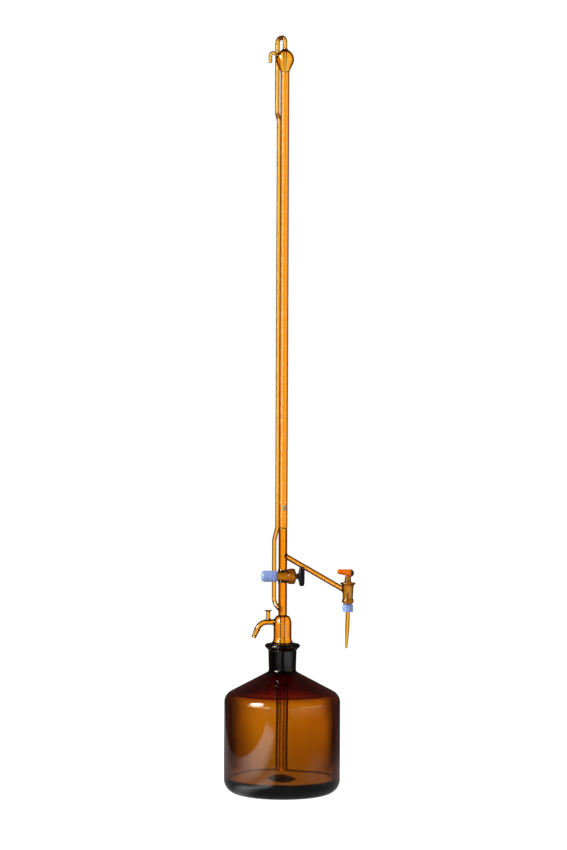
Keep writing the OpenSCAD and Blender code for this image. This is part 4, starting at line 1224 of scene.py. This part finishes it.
# %% Floor seen through the bottle
x, y = sheet.part(sheet.place, "X"), sheet.part(sheet.place, "Y")
reach = (x * x + y * y) ** 0.5
around = x.math("ARCTAN2", x, y)
off_strip = (around - math.radians(0.5)).fold(math.radians(22.5)) * reach
strip = 1 - (off_strip * (0.055 + 0.105 * reach) ** -1).step(0.45, 1.3)
close_by = (0.15 + 0.85 * strip) * reach.step(0.085, 0.115) * (0.5 + reach.step(0.1, 0.8) * 0.5)
far = GAP + (1 - GAP) * cards(around)
seen = close_by + (far - close_by) * reach.step(1.2, 2.6)
print("lit strips through the glass")

# %% Floor mirrored in the bottle
fading = 1 - y.step(-0.25, 0.05) * 0.9
left_sheet = between(x, -0.415, -0.375, -0.24, -0.12) * y.step(-0.75, -0.6) * 2.4
right_sheet = between(x, 0.12, 0.2, 0.34, 0.46) * y.step(-0.3, -0.1) * 0.5
foot_patch = between(x, -0.16, -0.1, -0.075, -0.035) * (1 - y.step(-0.07, -0.02)) * 2.2
near_foot = (1 - reach.step(0.12, 0.4)) * (0.2 + foot_patch)
leftward = x.math("ARCTAN2", x * -1, y * -1)
far_side = between(leftward, -1.9, -0.9, -0.4, -0.1) + between(leftward, 0.0, 0.25, 0.4, 1.2) * 0.6
sheets = (left_sheet + right_sheet) * fading * reach.step(0.08, 0.2) + near_foot
sheets = sheets + far_side * between(reach, 0.8, 1.1, 2.2, 3.0)
mirrored = MIRRORED + sheets + soft_boxes(leftward) * reach.step(6.0, 9.0)
in_glass = ray(sheet, "Is Transmission Ray")
on_skin = ray(sheet, "Is Glossy Ray") * (1 - in_glass)
dull = ray(sheet, "Is Diffuse Ray")
glow = in_glass * seen + on_skin * mirrored + dull * 0.5
shade = sheet.mix(on_skin * reach.step(4.0, 6.0), (1, 1, 1, 1), WARM)
lit = sheet.add("ShaderNodeEmission", None, {"Color": shade, "Strength": glow})
surface = sheet.add("ShaderNodeMixShader", None, {0: in_glass + on_skin + dull, 1: paper, 2: lit})
floor_mesh.materials.append(sheet.done(surface))
floor = bpy.data.objects.new("floor", floor_mesh)
bpy.context.scene.collection.objects.link(floor)
print("floor staged")

# %% [markdown]
# One soft lamp shapes the plastic pieces from the upper left. It casts no shadow, and glass doesn't
# show it, because the bright line down the tube and the bottle's oval highlight are in the sky already.

# %% Lamp
lamp = bpy.data.lights.new("soft_lamp", "AREA")
lamp.size = 1.2
lamp.energy = 80
lamp.use_shadow = False
soft_lamp = bpy.data.objects.new("soft_lamp", lamp)
bpy.context.scene.collection.objects.link(soft_lamp)
soft_lamp.location = (-2.4, -0.9, 1.3)
aim = Vector((0, 0, 0.4)) - soft_lamp.location
soft_lamp.rotation_euler = aim.to_track_quat("-Z", "Y").to_euler()
soft_lamp.visible_transmission = soft_lamp.visible_glossy = False
print("lamp", lamp.energy, "W")

# %% [markdown]
# ## Camera and render settings
# The camera looks straight ahead from a little below the middle of the object, far away and with a long
# lens, so that upright lines stay upright. It is rolled by a quarter of a degree. Many bounces are
# allowed, because a ray crosses many glass faces on its way.

# %% Camera
scene = bpy.context.scene
CAMERA_X, CAMERA_DISTANCE, CAMERA_HEIGHT = 0.0001, 2.799, 0.4593
CAMERA_LENS, ROLL, BOUNCES = 94.8, math.radians(0.25), 40
eye = bpy.data.cameras.new("camera")
eye.lens, eye.sensor_width, eye.clip_end = CAMERA_LENS, 36.0, 100
camera = bpy.data.objects.new("camera", eye)
camera.location = (CAMERA_X, -CAMERA_DISTANCE, CAMERA_HEIGHT)
camera.rotation_euler = (math.pi / 2, -ROLL, 0)
scene.collection.objects.link(camera)
scene.camera = camera
scene.view_settings.view_transform = "Standard"
scene.cycles.max_bounces = BOUNCES
scene.cycles.transmission_bounces = BOUNCES
print("camera", CAMERA_DISTANCE, "m away")
